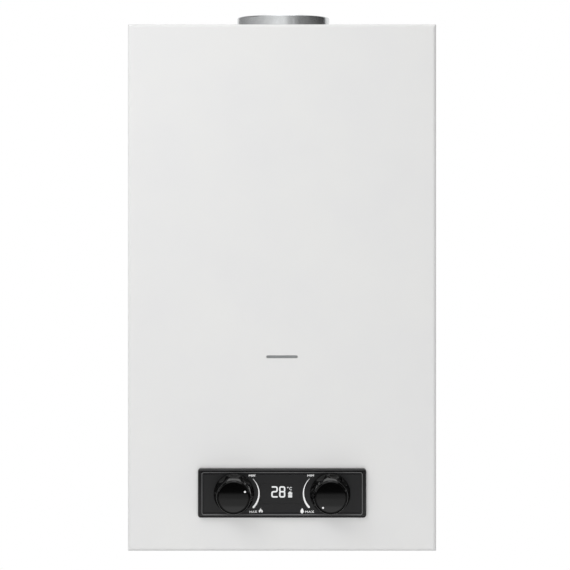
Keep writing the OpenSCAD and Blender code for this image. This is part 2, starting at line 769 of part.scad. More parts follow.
// A hollow moulding: skirt, scooped grip, sloping rim, a recess for the cap and a boss for the spindle.
module knob(x, turn) {
    grip_r = knob_d / 2 - 0.6;
    scallop_at = (grip_r + knob_top_d / 2) / 2 - scallop_depth + scallop_r;
    hollow_r = knob_d / 2 - 7.4;
    hollow_h = knob_h - 8;
    to_front(x, -knob_back, fascia_z) difference() {
        rotate_extrude() polygon([[0, 0], [knob_d / 2, 0], [knob_d / 2, skirt_h - 0.6], [grip_r, skirt_h],
            [knob_top_d / 2, knob_h - rim_h], [knob_face_d / 2, knob_h], [0, knob_h]]);
        for (i = [0 : scallops - 1]) rotate([0, 0, 90 + turn + i * 360 / scallops])
            translate([scallop_at, 0, skirt_h + 6.5]) sphere(scallop_r);
        translate([0, 0, knob_h - cap_t]) cylinder(h = cap_t + cut, r = cap_r + seat_gap);
        translate([0, 0, -cut]) cylinder(h = spindle_front - knob_back + 0.4 + cut, r = spindle_r + run_gap);
        translate([0, 0, -cut]) difference() {
            cylinder(h = hollow_h + cut, r = hollow_r);
            cylinder(h = hollow_h + 2 * cut, r = spindle_r + 3);
        }
    }
}

module knob_cap(x, mark) {
    to_front(x, -knob_back - knob_h + cap_t, fascia_z) difference() {
        cylinder(h = cap_t, r = cap_r);
        rotate([0, 0, mark]) translate([mark_at, 0, cap_t - 0.4]) cylinder(h = cap_t, r = mark_r);
    }
}

module gas_knob() placed() color("black") knob(-knob_x, gas_scallop);

module gas_knob_cap() placed() color("black") knob_cap(-knob_x, gas_mark);

module water_knob() placed() color("black") knob(knob_x, water_scallop);

module water_knob_cap() placed() color("black") knob_cap(knob_x, water_mark);

// Water valve

water_left = knob_x - 15;
flange_t = 11;
diaphragm_t = 2;
diaphragm_left = water_left - flange_t - diaphragm_t;
cover_t = 14;
cover_left = diaphragm_left - cover_t;
chamber_bore = 24;
screw_circle = 29;
screw_turns = [0 : 60 : 300];
drain_x = knob_x - 2;
drain_y = -(case_d - 33);
drain_r = 6;
plug_r = 5;

module to_left(x, y, z) {
    translate([x, y, z]) rotate([0, -90, 0]) children();
}

module valve_screw_holes(x, len) {
    for (a = screw_turns)
        to_right(x, rod_y + screw_circle * cos(a), fascia_z + screw_circle * sin(a))
            cylinder(h = len, r = screw_r + seat_gap);
}

water_body_w = 37;

module water_valve_body() placed() color("goldenrod") difference() {
    union() {
        translate([knob_x + 3.5, -(water_front + valve_back) / 2, water_low])
            linear_extrude(water_high - water_low) rounded(water_body_w, water_front - valve_back, 5);
        to_right(water_left - flange_t, rod_y, fascia_z) cylinder(h = flange_t + 5, r = flange_r);
        to_front(knob_x, -water_front, fascia_z) cylinder(h = boss_front - water_front, r = boss_r);
        to_front(knob_x, inlet_y, inlet_z) cylinder(h = valve_back + inlet_y, r = tube_r + 3);
    }
    spindle_bore(knob_x);
    to_right(water_left - flange_t - cut, rod_y, fascia_z) cylinder(h = 6 + cut, r = chamber_bore);
    valve_screw_holes(water_left - flange_t - cut, 10 + cut);
    translate([drain_x, drain_y, water_low - cut]) cylinder(h = 10.5 + cut, r = plug_r + run_gap);
}

module diaphragm() placed() color("dimgray") difference() {
    to_right(diaphragm_left, rod_y, fascia_z) cylinder(h = diaphragm_t, r = flange_r);
    valve_screw_holes(diaphragm_left - cut, diaphragm_t + 2 * cut);
}

module water_valve_cover() placed() color("goldenrod") difference() {
    to_right(cover_left, rod_y, fascia_z) rotate_extrude() polygon([[rod_r + bore_gap, 0], [22, 0], [25, 6],
        [25, 8], [flange_r, 8], [flange_r, cover_t], [chamber_bore, cover_t], [chamber_bore, 10], [18, 4],
        [rod_r + bore_gap, 4]]);
    valve_screw_holes(cover_left, cover_t + cut);
}

module valve_screws() placed() color("silver")
    for (a = screw_turns)
        to_left(cover_left + 8, rod_y + screw_circle * cos(a), fascia_z + screw_circle * sin(a)) screw(16);

// The rod that carries the diaphragm's push to the gas valve, with a collar for the switch lever.
module push_rod() placed() color("silver") {
    end = diaphragm_left - fit_gap;
    back = gas_right - 4;
    to_right(back, rod_y, fascia_z) cylinder(h = end - back, r = rod_r);
    to_right(end - 3.2, rod_y, fascia_z) cylinder(h = 3.2, r = 8);
    to_right(cover_left - 8, rod_y, fascia_z) cylinder(h = 2.5, r = 6);
}

// Lever switch beside the rod
pivot_x = cover_left - 8.9;
pivot_z = fascia_z + 13.5;
switch_z = pivot_z + 2.5;
lever_half = 3;
ear_half = lever_half + 1.5;

module microswitch() placed() color("darkslategray") {
    block([cover_left - 18, rod_y - ear_half, switch_z], [cover_left, rod_y + ear_half, switch_z + 9.5]);
    for (y = [rod_y - ear_half, rod_y + lever_half + 0.4])
        block([pivot_x - 2.1, y, pivot_z - 2], [pivot_x + 2.1, y + 1.1, switch_z]);
    to_front(pivot_x, rod_y + ear_half, pivot_z) cylinder(h = 2 * ear_half, r = pin_r);
    for (x = [-14, -9, -4])
        block([cover_left + x, rod_y - 0.4, switch_z + 9.5],
            [cover_left + x + 2.8, rod_y + 0.4, switch_z + 15]);
}

module switch_lever() placed() color("silver") difference() {
    union() {
        to_front(pivot_x, rod_y + lever_half, pivot_z) cylinder(h = 2 * lever_half, r = 2.1);
        block([pivot_x - 0.6, rod_y - lever_half, fascia_z + rod_r + 0.7],
            [pivot_x + 0.6, rod_y + lever_half, pivot_z]);
    }
    to_front(pivot_x, rod_y + lever_half + cut, pivot_z)
        cylinder(h = 2 * lever_half + 2 * cut, r = pin_r + run_gap);
}

// A plug screwed into the water valve from below, with a knurled head and a coin slot.
module drain_plug() placed() color("goldenrod") {
    head_low = -3;
    difference() {
        union() {
            translate([drain_x, drain_y, head_low]) cylinder(h = water_low + 10 - head_low, r = plug_r);
            translate([drain_x, drain_y, head_low]) cylinder(h = 14, r = drain_r);
        }
        block([drain_x - drain_r - cut, drain_y - 0.8, head_low - cut],
            [drain_x + drain_r + cut, drain_y + 0.8, head_low + 2]);
    }
}

// Fascia

panel_w = spigot_w - 2;
panel_h = spigot_h - 2;
panel_z = fascia_rise - panel_t;
floor_t = 2.5;
spindle_hole_r = spindle_r + 3;
led_w = 34;
led_h = 14;
post_at = [24, spigot_h / 2 - 8];
board_z = panel_z - floor_t - 5.5;
board_t = 1.6;

module fascia_place() {
    to_front(0, -case_d, fascia_z) children();
}

module spindle_holes() {
    for (x = [-knob_x, knob_x])
        translate([x, 0, -case_d]) cylinder(h = 2 * case_d, r = spindle_hole_r);
}

// A moulded frame with a rolled rim, a pocket for the panel and a rear frame that plugs into the cover.
module fascia_bezel() placed() color("black") fascia_place() {
    difference() {
        union() {
            bevelled_plate(fascia_w, fascia_h, fascia_rise, rim_w, fascia_rise - 1.5, 3);
            translate([0, 0, -spigot_d]) linear_extrude(spigot_d) rounded(spigot_w, spigot_h, 3);
        }
        translate([0, 0, panel_z])
            linear_extrude(panel_t + cut) rounded(panel_w + 2 * seat_gap, panel_h + 2 * seat_gap, 1.5);
        translate([0, 0, -spigot_d - cut])
            linear_extrude(spigot_d + cut + panel_z - floor_t) rounded(spigot_w - 4, spigot_h - 4, 1.5);
        linear_extrude(fascia_rise) square([led_w + 2, led_h + 2], center = true);
        spindle_holes();
    }
    for (x = [-1, 1], y = [-1, 1])
        translate([x * post_at.x, y * post_at.y, board_z]) cylinder(h = panel_z - floor_t - board_z, r = 2.5);
}

module fascia_panel() placed() color("black") fascia_place() translate([0, 0, panel_z]) difference() {
    bevelled_plate(panel_w, panel_h, panel_t, 0.8, 0.8, 1.4);
    translate([0, 0, -cut])
        linear_extrude(panel_t + 2 * cut) rounded(window_w + 2 * seat_gap, window_h + 2 * seat_gap, 1);
    spindle_holes();
}

module display_window() placed() color("black") fascia_place()
    translate([0, 0, panel_z]) linear_extrude(panel_t) rounded(window_w, window_h, 1);

module display_board() placed() color("darkgreen") fascia_place() {
    translate([0, 0, board_z - board_t]) linear_extrude(board_t) rounded(60, spigot_h - 8, 2);
    translate([0, 0, board_z]) linear_extrude(panel_z - board_z) square([led_w, led_h], center = true);
}

// Battery box under the base

cell_x = [box_x - cell_r - cell_gap / 2, box_x + cell_r + cell_gap / 2];

module battery_box() placed() color("dimgray") {
    half = box_w / 2;
    lip = 4;
    difference() {
        union() {
            block([box_x - half, box_front, sheet], [box_x + half, box_back, box_top]);
            block([box_x - half - lip, box_front - lip, base_top],
                [box_x + half + lip, box_back + lip, base_top + 1.6]);
        }
        block([box_x - half + box_wall, box_front + box_wall, 0],
            [box_x + half - box_wall, box_back - box_wall, box_top - box_wall]);
    }
    for (x = [box_x - half, box_x + half - lug_w]) difference() {
        union() {
            to_right(x, box_back, hinge_z) cylinder(h = lug_w, r = hinge_r + 0.2);
            block([x, box_back - 2.2, hinge_z], [x + lug_w, box_back, sheet]);
        }
        to_right(x - cut, box_back, hinge_z) cylinder(h = lug_w + 2 * cut, r = pin_r + run_gap);
    }
}

module battery_cells() placed() color("darkkhaki")
    for (x = cell_x) to_front(x, box_y + cell_len / 2, cell_z) {
        cylinder(h = cell_len - 1.5, r = cell_r);
        cylinder(h = cell_len, r = 4.5);
    }

module battery_contacts() placed() color("silver") {
    plate_t = 0.6;
    half = [9, 10];
    button_r = 4;
    reach = (box_in_d - cell_len) / 2;
    for (x = cell_x, side = [-1, 1]) {
        wall_y = box_y + side * box_in_d / 2;
        inner_y = wall_y - side * plate_t;
        end_y = wall_y - side * reach;
        block([x - half.x, min(wall_y, inner_y), cell_z - half.y],
            [x + half.x, max(wall_y, inner_y), cell_z + half.y]);
        to_front(x, max(inner_y, end_y), cell_z) cylinder(h = abs(end_y - inner_y), r = button_r);
    }
}

module battery_lid() placed() color("dimgray") {
    half = box_w / 2 - fit_gap;
    hinge_half = box_w / 2 - lug_w - 0.4;
    top = sheet - 0.4;
    low = top - 2;
    knuckle = 16;
    block([box_x - half, box_front, low], [box_x + half, box_back - 3, top]);
    difference() {
        union() {
            block([box_x - hinge_half, box_back - 4, low], [box_x + hinge_half, box_back - hinge_r, top]);
            for (x = [box_x - hinge_half, box_x + hinge_half - knuckle]) {
                to_right(x, box_back, hinge_z) cylinder(h = knuckle, r = hinge_r);
                block([x, box_back - 2 * hinge_r, hinge_z], [x + knuckle, box_back, hinge_z + hinge_r]);
            }
        }
        to_right(box_x - box_w, box_back, hinge_z) cylinder(h = 2 * box_w, r = pin_r + run_gap);
    }
    block([box_x - 10, box_front, low - 1.6], [box_x + 10, box_front + 2, low]);
}

module battery_pin() placed() color("silver")
    to_right(box_x - box_w / 2, box_back, hinge_z) cylinder(h = box_w, r = pin_r);

// Ignition and sensors

module_x = inner_half - 40;
module_z = 105;
module_w = 54;
module_h = 90;
module_d = 32;
tab_h = 9;
tab_t = 3;

module ignition_module() placed() color("dimgray") to_front(module_x, -sheet, module_z) {
    linear_extrude(module_d) rounded(module_w, module_h, 4);
    difference() {
        linear_extrude(tab_t) rounded(module_w, module_h + 2 * tab_h, 4);
        for (y = [-1, 1])
            translate([0, y * (module_h / 2 + 4), -cut]) cylinder(h = tab_t + 2 * cut, r = screw_r);
    }
    for (x = [-16, 0, 16]) translate([x, -module_h / 2, 20]) rotate([90, 0, 0]) cylinder(h = 8, r = 3);
}

// A ring that clips onto a vertical pipe, standing on its middle.
module pipe_ring(h) {
    difference() {
        cylinder(h = h, r = tube_r + 1.6, center = true);
        cylinder(h = h + cut, r = tube_r + run_gap, center = true);
    }
}

module overheat_thermostat() placed() color("black") translate([-hot_x, pass_y[4], exch_z - 72]) {
    pipe_ring(12);
    to_left(-tube_r - 0.5, 0, 0) rotate_extrude()
        polygon([[0, 0], [8, 0], [8, 6], [5, 6], [5, 8], [0, 8]]);
}

module flue_thermostat() placed() color("black") to_front(0, -stack_y - chamber_d / 2, hood_z + 58) {
    linear_extrude(1.2) obround(32, 14);
    cylinder(h = 9, r = 8);
    for (x = [-4, 2.4]) translate([x, -2, 9]) cube([1.6, 4, 6]);
}

module temperature_sensor() placed() color("goldenrod") translate([-hot_x, -conn_y, 90]) {
    pipe_ring(10);
    to_front(0, -tube_r - 0.5, 0) {
        cylinder(h = 7, r = 5, $fn = 6);
        cylinder(h = 16, r = 3);
    }
}

front_cover();
inspection_glass();
back_plate();
base_plate();
stack_brackets();
burner_frame();
burner_bars();
gas_manifold();
injectors();
spark_electrode();
flame_electrode();
combustion_chamber();
chamber_coil();
exchanger_case();
exchanger_fins();
exchanger_tubes();
draught_hood();
flue_collar();
hot_pipe();
cold_feed_pipe();
cold_inlet_pipe();
gas_inlet_pipe();
cold_nipple();
hot_nipple();
gas_nipple();
nipple_nuts();
gas_valve_body();
gas_valve_bonnet();
gas_solenoid();
gas_spindle();
gas_knob();
gas_knob_cap();
water_valve_body();
water_valve_cover();
diaphragm();
valve_screws();
push_rod();
microswitch();
switch_lever();
water_spindle();
water_knob();
water_knob_cap();
drain_plug();
fascia_bezel();
fascia_panel();
display_board();
display_window();
battery_box();
battery_cells();
battery_contacts();
battery_lid();
battery_pin();
ignition_module();
overheat_thermostat();
flue_thermostat();
temperature_sensor();
cover_screws();
base_screws();
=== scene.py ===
# %% [markdown]
# # A wall-hung gas water heater
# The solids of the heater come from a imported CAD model, in metres, with X to the right, Y into the wall and
# Z up. This lesson dresses them: each surface that the eye reaches is worked out again as a smooth numpy
# surface, or keeps its solid and gets a finish. Nothing is moved, so every piece stays where the solids
# say.

# %% Load the solids
import math

import bmesh
import bpy
import numpy as np
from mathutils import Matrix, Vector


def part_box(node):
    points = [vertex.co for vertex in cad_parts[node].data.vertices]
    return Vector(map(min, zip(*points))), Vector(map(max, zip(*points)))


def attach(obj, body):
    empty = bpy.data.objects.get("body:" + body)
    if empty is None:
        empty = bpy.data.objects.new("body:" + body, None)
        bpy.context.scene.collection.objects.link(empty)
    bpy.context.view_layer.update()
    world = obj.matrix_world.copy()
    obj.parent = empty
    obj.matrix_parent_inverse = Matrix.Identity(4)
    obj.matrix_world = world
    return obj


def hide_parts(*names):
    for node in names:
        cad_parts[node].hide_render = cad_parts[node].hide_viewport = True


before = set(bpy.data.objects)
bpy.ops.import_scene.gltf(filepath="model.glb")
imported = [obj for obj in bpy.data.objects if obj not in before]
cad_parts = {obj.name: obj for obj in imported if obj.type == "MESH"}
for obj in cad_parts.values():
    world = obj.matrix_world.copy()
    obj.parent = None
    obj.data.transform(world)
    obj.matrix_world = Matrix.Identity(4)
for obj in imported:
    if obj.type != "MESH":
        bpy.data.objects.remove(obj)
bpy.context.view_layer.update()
MM = 0.001

# %% [markdown]
# ## Reading sizes from the solids
# The pieces below take their places from the boxes of solids. Numbers could be typed instead, but read from
# the model they follow every change of it. The cover gives the front plane, the fascia's frame gives the
# height of the controls, and the collar gives the flue's axis.

# %% Places taken from the solids
cover_low, cover_high = (np.array(c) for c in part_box("front_cover"))
bezel_low, bezel_high = (np.array(c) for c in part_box("fascia_bezel"))
panel_low, panel_high = (np.array(c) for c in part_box("fascia_panel"))
collar_low, collar_high = (np.array(c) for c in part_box("flue_collar"))
cover_front = cover_low[1]
control_z = (bezel_low[2] + bezel_high[2]) / 2
panel_front = panel_low[1]
flue_axis = (collar_low + collar_high) / 2
print("cover front at", round(cover_front, 4), "controls at height", round(control_z, 4))

# %% [markdown]
# ## The camera
# The photograph shows no converging verticals, so the camera is level and its lens is shifted, as a product
# photographer does. The knobs' faces sit lower than their skirts and the collar's far rim sits lower than
# its near rim. Both say that the lens was 400 mm above the casing's bottom edge and about 1.9 m from the
# cover. The knobs show as much of their left flanks as of their right ones, so the lens was within a
# centimetre of the casing's middle.

# %% Camera
PHOTO_PX = 570
LENS_DISTANCE = 1.912
LENS_HEIGHT = 0.40
LENS_RIGHT = -0.01
# Pixels of the photograph: the cover's left and right ends at its top, and its bottom edge.
COVER_TOP_PX = (127.7, 436.4)
COVER_BOTTOM_PX = 551.4
pixels_per_metre = (COVER_TOP_PX[1] - COVER_TOP_PX[0]) / (cover_high[0] - cover_low[0])
SENSOR_MM = 36.0
camera_data = bpy.data.cameras.new("camera")
camera_data.sensor_width = SENSOR_MM
camera_data.lens = pixels_per_metre * LENS_DISTANCE / PHOTO_PX * SENSOR_MM
camera_data.shift_x = 0.5 - (sum(COVER_TOP_PX) / 2 + LENS_RIGHT * pixels_per_metre) / PHOTO_PX
camera_data.shift_y = (COVER_BOTTOM_PX - LENS_HEIGHT * pixels_per_metre) / PHOTO_PX - 0.5
camera = bpy.data.objects.new("camera", camera_data)
camera.location = (LENS_RIGHT, cover_front - LENS_DISTANCE, cover_low[2] + LENS_HEIGHT)
camera.rotation_euler = (math.pi / 2, 0, 0)
bpy.context.scene.collection.objects.link(camera)
bpy.context.scene.camera = camera
shifts = [round(camera_data.shift_x, 4), round(camera_data.shift_y, 4)]
print("lens", round(camera_data.lens, 1), "mm, shifted by", shifts)


# %% [markdown]
# ## Colours and shader nodes
# A colour is written as the hex value that a paint chart would give, and one function turns it into the
# linear numbers that the renderer works with. Shader nodes could be set by hand in the editor, but written
# down they can be read and repeated, so one more function adds a node, sets its values and links its
# inputs. Two others build what most finishes share: clouds of two close colours, and a grain that lifts the
# surface.

# %% Material helpers
def linear(hex_colour):
    """sRGB hex to linear RGBA: below 0.04045 divide by 12.92, above it a power of 2.4."""
    srgb = np.array([int(hex_colour[i:i + 2], 16) / 255 for i in (1, 3, 5)])
    rgb = np.where(srgb <= 0.04045, srgb / 12.92, ((srgb + 0.055) / 1.055) ** 2.4)
    return (*rgb.tolist(), 1.0)


def add(tree, kind, settings=None, **inputs):
    """Adds a shader node. Settings are its properties; an input is a value or another node's socket."""
    node = tree.nodes.new("ShaderNode" + kind)
    for key, value in (settings or {}).items():
        setattr(node, key, value)
    for key, value in inputs.items():
        name = int(key[1:]) if key[0] == "i" and key[1:].isdigit() else key.replace("_", " ")
        if isinstance(value, bpy.types.NodeSocket):
            tree.links.new(value, node.inputs[name])
        else:
            node.inputs[name].default_value = value
    return node


def new_material(name, **values):
    """A material with one Principled shader whose constant values sit on its own sockets."""
    material = bpy.data.materials.new(name)
    material.use_nodes = True
    shader = material.node_tree.nodes["Principled BSDF"]
    for key, value in values.items():
        shader.inputs[key.replace("_", " ")].default_value = value
    return material, material.node_tree, shader


def cell_size(size_mm):
    """The Scale of a noise or Voronoi texture whose cells are size_mm wide on coordinates in metres."""
    return 1000 / size_mm


CLOUD_EDGES = (0.3, 0.7)


def clouded(tree, shader, dark, light, size_mm, detail=2.0, crystals=False):
    """Colours a surface between two hex colours in clouds or crystals of size_mm; returns the pattern.

    Where the pattern is under the first of CLOUD_EDGES it is dark, over the second it is light.
    """
    place = add(tree, "TexCoord").outputs["Object"]
    if crystals:
        cells = add(tree, "TexVoronoi", Vector=place, Scale=cell_size(size_mm), Randomness=1.0)
        pattern = add(tree, "SeparateColor", Color=cells.outputs["Color"]).outputs["Red"]
    else:
        pattern = add(tree, "TexNoise", Vector=place, Scale=cell_size(size_mm), Detail=detail).outputs["Fac"]
    ramp = add(tree, "ValToRGB", Fac=pattern)
    for element, position, colour in zip(ramp.color_ramp.elements, CLOUD_EDGES, (dark, light)):
        element.position = position
        element.color = linear(colour)
    tree.links.new(ramp.outputs["Color"], shader.inputs["Base Color"])
    return pattern


def grained(tree, shader, size_mm, depth_mm, strength):
    """Lifts a surface by noise with grains of size_mm, whose hills are depth_mm high."""
    place = add(tree, "TexCoord").outputs["Object"]
    grain = add(tree, "TexNoise", Vector=place, Scale=cell_size(size_mm), Detail=2.0)
    relief = add(tree, "Bump", Height=grain.outputs["Fac"], Distance=depth_mm * MM, Strength=strength)
    tree.links.new(relief.outputs["Normal"], shader.inputs["Normal"])


# %% [markdown]
# ## Paint, plastic and other finishes that aren't metal
# The cover is folded sheet steel under white polyester powder coat. Baked powder flows into low, wide
# ripples, called orange peel, which break up reflections a little. The fascia's frame is ABS from a
# spark-eroded mould, so it is satin with a fine grain. The knobs come from a polished mould, their caps are
# polished acrylic, and the panel is rolled acrylic sheet with a soft sheen. Pictures of such surfaces could
# be wrapped round the pieces, but a pattern made from noise fits every shape and keeps its real size. Grain
# finer than about 0.4 mm wouldn't show even in a close view, so the grains of moulds, rubber and ink are
# drawn at 0.4 to 0.6 mm, coarser than the real ones.

# %% Finishes that aren't metal
def moulded(name, dark, light, roughness, grain_mm, depth_mm, **values):
    """A paint or plastic: two close colours in clouds 40 grains wide, and a grain that lifts it a little."""
    material, tree, shader = new_material(name, Roughness=roughness, **values)
    clouded(tree, shader, dark, light, 40 * grain_mm)
    grained(tree, shader, grain_mm, depth_mm, 0.25)
    return material


# Powder that flowed in the oven has a soft sheen and hardly any reflection.
white_powder_coat = moulded("white powder coat on steel", "#e6e6e6", "#e8e8e7", 0.45, 1.6, 0.010,
                            Specular_IOR_Level=0.3)
# The fine grain of an eroded mould makes a satin black with soft lights.
black_satin_abs = moulded("black satin ABS, spark-eroded mould", "#0c0c0d", "#101011", 0.22, 0.5, 0.004)
# Rolled sheet is flat and even, with a dull sheen.
black_acrylic = moulded("black acrylic, rolled sheet", "#131314", "#161617", 0.38, 2.0, 0.004)
# A polished mould gives a deep black with narrow lights along the ridges.
black_gloss_abs = moulded("black ABS, polished mould", "#020202", "#030303", 0.10, 3.0, 0.002,
                          Specular_IOR_Level=0.3)
# A mid grey painted on the bead's black edge stands in for the highlight that the edge catches.
bead_painted_highlight = moulded("black acrylic edge, painted highlight", "#666667", "#6e6e6f", 0.4, 0.4, 0.01)
# Polished like glass, it mirrors the room.
black_polished = moulded("black acrylic, polished", "#050505", "#070707", 0.03, 6.0, 0.0004)
# Filled resin is dark grey, dull and a little uneven.
dark_phenolic = moulded("dark phenolic, moulded", "#26272a", "#303135", 0.55, 0.8, 0.02)
# Rubber scatters light, so it is matt and nearly black.
nitrile_rubber = moulded("nitrile rubber, moulded", "#1b1b1b", "#232323", 0.75, 0.6, 0.02)
# An ivory body shows through a smooth glaze.
glazed_ceramic = moulded("ceramic, glazed", "#dcd6c8", "#e6e1d5", 0.2, 1.0, 0.005)
# Lacquer over glass fibre is deep green with a soft gloss.
solder_resist = moulded("green solder resist on glass fibre", "#12452c", "#1a5535", 0.35, 1.2, 0.01)
# Film shrunk on to steel is smooth and half glossy.
cell_print = moulded("steel cell jacket, printed film", "#3b3d42", "#484a50", 0.3, 3.0, 0.004)
# A layer of ink has no gloss and no depth, only white.
white_ink = moulded("white screen-print ink", "#fafafa", "#ffffff", 0.5, 0.4, 0.004)
print("finishes that aren't metal:", len(bpy.data.materials))


# %% [markdown]
# ## Metals
# Galvanised sheet shows spangle, the flat crystals of the zinc, about 8 mm wide. Copper is drawn or pressed
# and tarnishes in clouds. Brass and zinc plating keep fine tool marks. A metal could have one colour and
# one roughness, but then it looks like foil. Its colour is its reflection, so one pattern moves both.

# %% Metals
def metal(name, dark, light, rough, grain_mm, depth_mm, crystals=False):
    """A bare metal: clouds or flat crystals of grain_mm move its colour and its roughness (low, high).

    Marks a sixth as wide lift the surface a little.
    """
    material, tree, shader = new_material(name, Metallic=1.0)
    pattern = clouded(tree, shader, dark, light, grain_mm, 4.0, crystals)
    roughness = add(tree, "MapRange", i0=pattern, i3=rough[0], i4=rough[1])
    tree.links.new(roughness.outputs[0], shader.inputs["Roughness"])
    grained(tree, shader, grain_mm / 6, depth_mm, 0.2)
    return material


# Zinc crystals lie at different angles, so neighbours differ in grey and in gloss.
galvanised_sheet = metal("galvanised steel sheet", "#abaeb0", "#babdbf", (0.32, 0.40), 8, 0.01, True)
# Rolling smears the crystals out, which leaves a bright and even grey.
collar_steel = metal("galvanised collar, rolled", "#d4d6d7", "#dddfe0", (0.22, 0.27), 6, 0.003)
# Pressed stainless steel is a warm grey that heat dulls in patches.
stainless_pressing = metal("stainless steel, pressed", "#8f8b84", "#a7a39b", (0.25, 0.4), 6, 0.01)
# Zinc plating is thin, even and cool.
zinc_plate = metal("steel, zinc plated", "#b5b8ba", "#c9cccd", (0.2, 0.32), 2, 0.006)
# Drawing leaves copper bright, and air tarnishes it in orange and brown clouds.
drawn_copper = metal("copper, drawn and pressed", "#b0714f", "#c98a66", (0.22, 0.4), 12, 0.01)
# Turned brass is a glossy yellow with fine marks of the tool.
machined_brass = metal("brass, machined", "#b3924f", "#c7a863", (0.18, 0.32), 3, 0.008)
# The skin that a die leaves is light grey, dull and slightly rough.
cast_aluminium = metal("aluminium, die cast", "#a2a4a6", "#b2b4b5", (0.42, 0.55), 1.5, 0.03)
print("materials:", len(bpy.data.materials))

# %% [markdown]
# ## Glass and the lit figures
# The slot in the cover is closed by heat-proof glass, and the display's figures shine through the window.
# Lamps behind the figures could light them, but a surface that gives off light by itself is simpler and has
# no grain. A light that is bright but doesn't bloom needs a strength of about 1.

# %% Glass and light
# Ground glass lets some light through and hides what is behind it.
heat_glass, glass_tree, glass_shader = new_material("heat-proof glass, ground", Roughness=0.35, IOR=1.5)
glass_shader.inputs["Transmission Weight"].default_value = 0.35
clouded(glass_tree, glass_shader, "#8a8d8e", "#b4b7b8", 1.0)
grained(glass_tree, glass_shader, 0.8, 0.02, 0.3)
# Light from behind a smoked window: white figures that throw no glow around them.
lit_figures, lit_tree, lit_shader = new_material("display light", Roughness=0.5)
clouded(lit_tree, lit_shader, "#3c3c3c", "#444444", 0.5)
lit_shader.inputs["Emission Color"].default_value = linear("#f4f6f6")
lit_shader.inputs["Emission Strength"].default_value = 0.85
print("materials with glass and light:", len(bpy.data.materials))


# %% [markdown]
# ## Finishes of the solids
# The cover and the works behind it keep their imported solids. They could be rebuilt as smooth surfaces too,
# but what is flat or hidden gains nothing from that. Each finish below lists the solids that are made of
# it, and solids that a smooth piece replaces later are listed too.

# %% Solids by finish
def dress(material, nodes):
    """Gives carried solids a finish in all their material slots."""
    for node in nodes.split():
        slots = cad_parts[node].data.materials
        for i in range(max(len(slots), 1)):
            if len(slots):
                slots[i] = material
            else:
                slots.append(material)


dress(white_powder_coat, "front_cover")
dress(galvanised_sheet, "back_plate base_plate stack_brackets draught_hood flue_collar burner_frame"
      " gas_manifold")
dress(stainless_pressing, "burner_bars")
dress(zinc_plate, "cover_screws base_screws valve_screws gas_spindle water_spindle push_rod switch_lever"
      " battery_contacts battery_pin")
dress(drawn_copper, "combustion_chamber chamber_coil exchanger_case exchanger_fins exchanger_tubes hot_pipe"
      " cold_feed_pipe cold_inlet_pipe gas_inlet_pipe")
dress(machined_brass, "injectors cold_nipple hot_nipple gas_nipple nipple_nuts water_valve_body"
      " water_valve_cover drain_plug temperature_sensor")
dress(cast_aluminium, "gas_valve_body gas_valve_bonnet")
dress(black_satin_abs, "gas_knob water_knob fascia_bezel")
dress(black_acrylic, "fascia_panel display_window")
dress(black_polished, "gas_knob_cap water_knob_cap")
dress(dark_phenolic, "gas_solenoid microswitch battery_box battery_lid ignition_module overheat_thermostat"
      " flue_thermostat")
dress(solder_resist, "display_board")
dress(nitrile_rubber, "diaphragm")
dress(glazed_ceramic, "spark_electrode flame_electrode")
dress(heat_glass, "inspection_glass")
dress(cell_print, "battery_cells")
print("solids with a finish:", len(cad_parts))

# %% [markdown]
# ## Surfaces from arrays
# A smooth piece is a grid of points: two parameters run over the surface, and a formula turns them into X,
# Y and Z. It could be modelled by hand from a cylinder or a box, but a formula gives every point its real
# size, and numpy works out the whole grid at once. The faces join each point to its neighbours, and a grid
# that closes on itself, such as a ring, joins its last column to its first. Edges sharper than a given
# angle stay crisp.

# %% Meshes from grids
MERGE_DISTANCE = 1e-7


def grid_faces(rows, columns, wrap):
    """Quads between neighbouring rows and columns; with wrap, the last column joins the first."""
    r, c = np.meshgrid(np.arange(rows - 1), np.arange(columns if wrap else columns - 1), indexing="ij")
    c_next = (c + 1) % columns
    here, above = r * columns, (r + 1) * columns
    return np.stack([here + c, here + c_next, above + c_next, above + c], -1).reshape(-1, 4)


def make_piece(name, sheets, material, body, replaced=(), sharp_deg=35):
    """One object from (points, wrap) grids: merged at shared points, turned outwards, put on its body."""
    points, faces, base = [], [], 0
    for grid, wrap in sheets:
        rows, columns = grid.shape[:2]
        points.append(grid.reshape(-1, 3))
        faces.append(grid_faces(rows, columns, wrap) + base)
        base += rows * columns
    mesh = bpy.data.meshes.new(name)
    mesh.from_pydata(np.concatenate(points).tolist(), [], np.concatenate(faces).tolist())
    work = bmesh.new()
    work.from_mesh(mesh)
    bmesh.ops.remove_doubles(work, verts=work.verts, dist=MERGE_DISTANCE)
    bmesh.ops.dissolve_degenerate(work, edges=work.edges, dist=MERGE_DISTANCE)
    bmesh.ops.recalc_face_normals(work, faces=work.faces)
    work.to_mesh(mesh)
    work.free()
    mesh.polygons.foreach_set("use_smooth", np.ones(len(mesh.polygons), bool))
    mesh.set_sharp_from_angle(angle=math.radians(sharp_deg))
    mesh.materials.append(material)
    piece = bpy.data.objects.new(name, mesh)
    bpy.context.scene.collection.objects.link(piece)
    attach(piece, body)
    if replaced:
        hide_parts(*replaced)
    print(name, len(mesh.polygons), "faces")


# %% [markdown]
# ## Turned shapes
# A knob, a collar and a nipple are turned: a profile of radius and height goes once round an axis.
# Blender's Spin and its Screw modifier do this too. A formula is chosen because it can change the radius
# with the angle, so that scoops, flats and threads come in the same step.

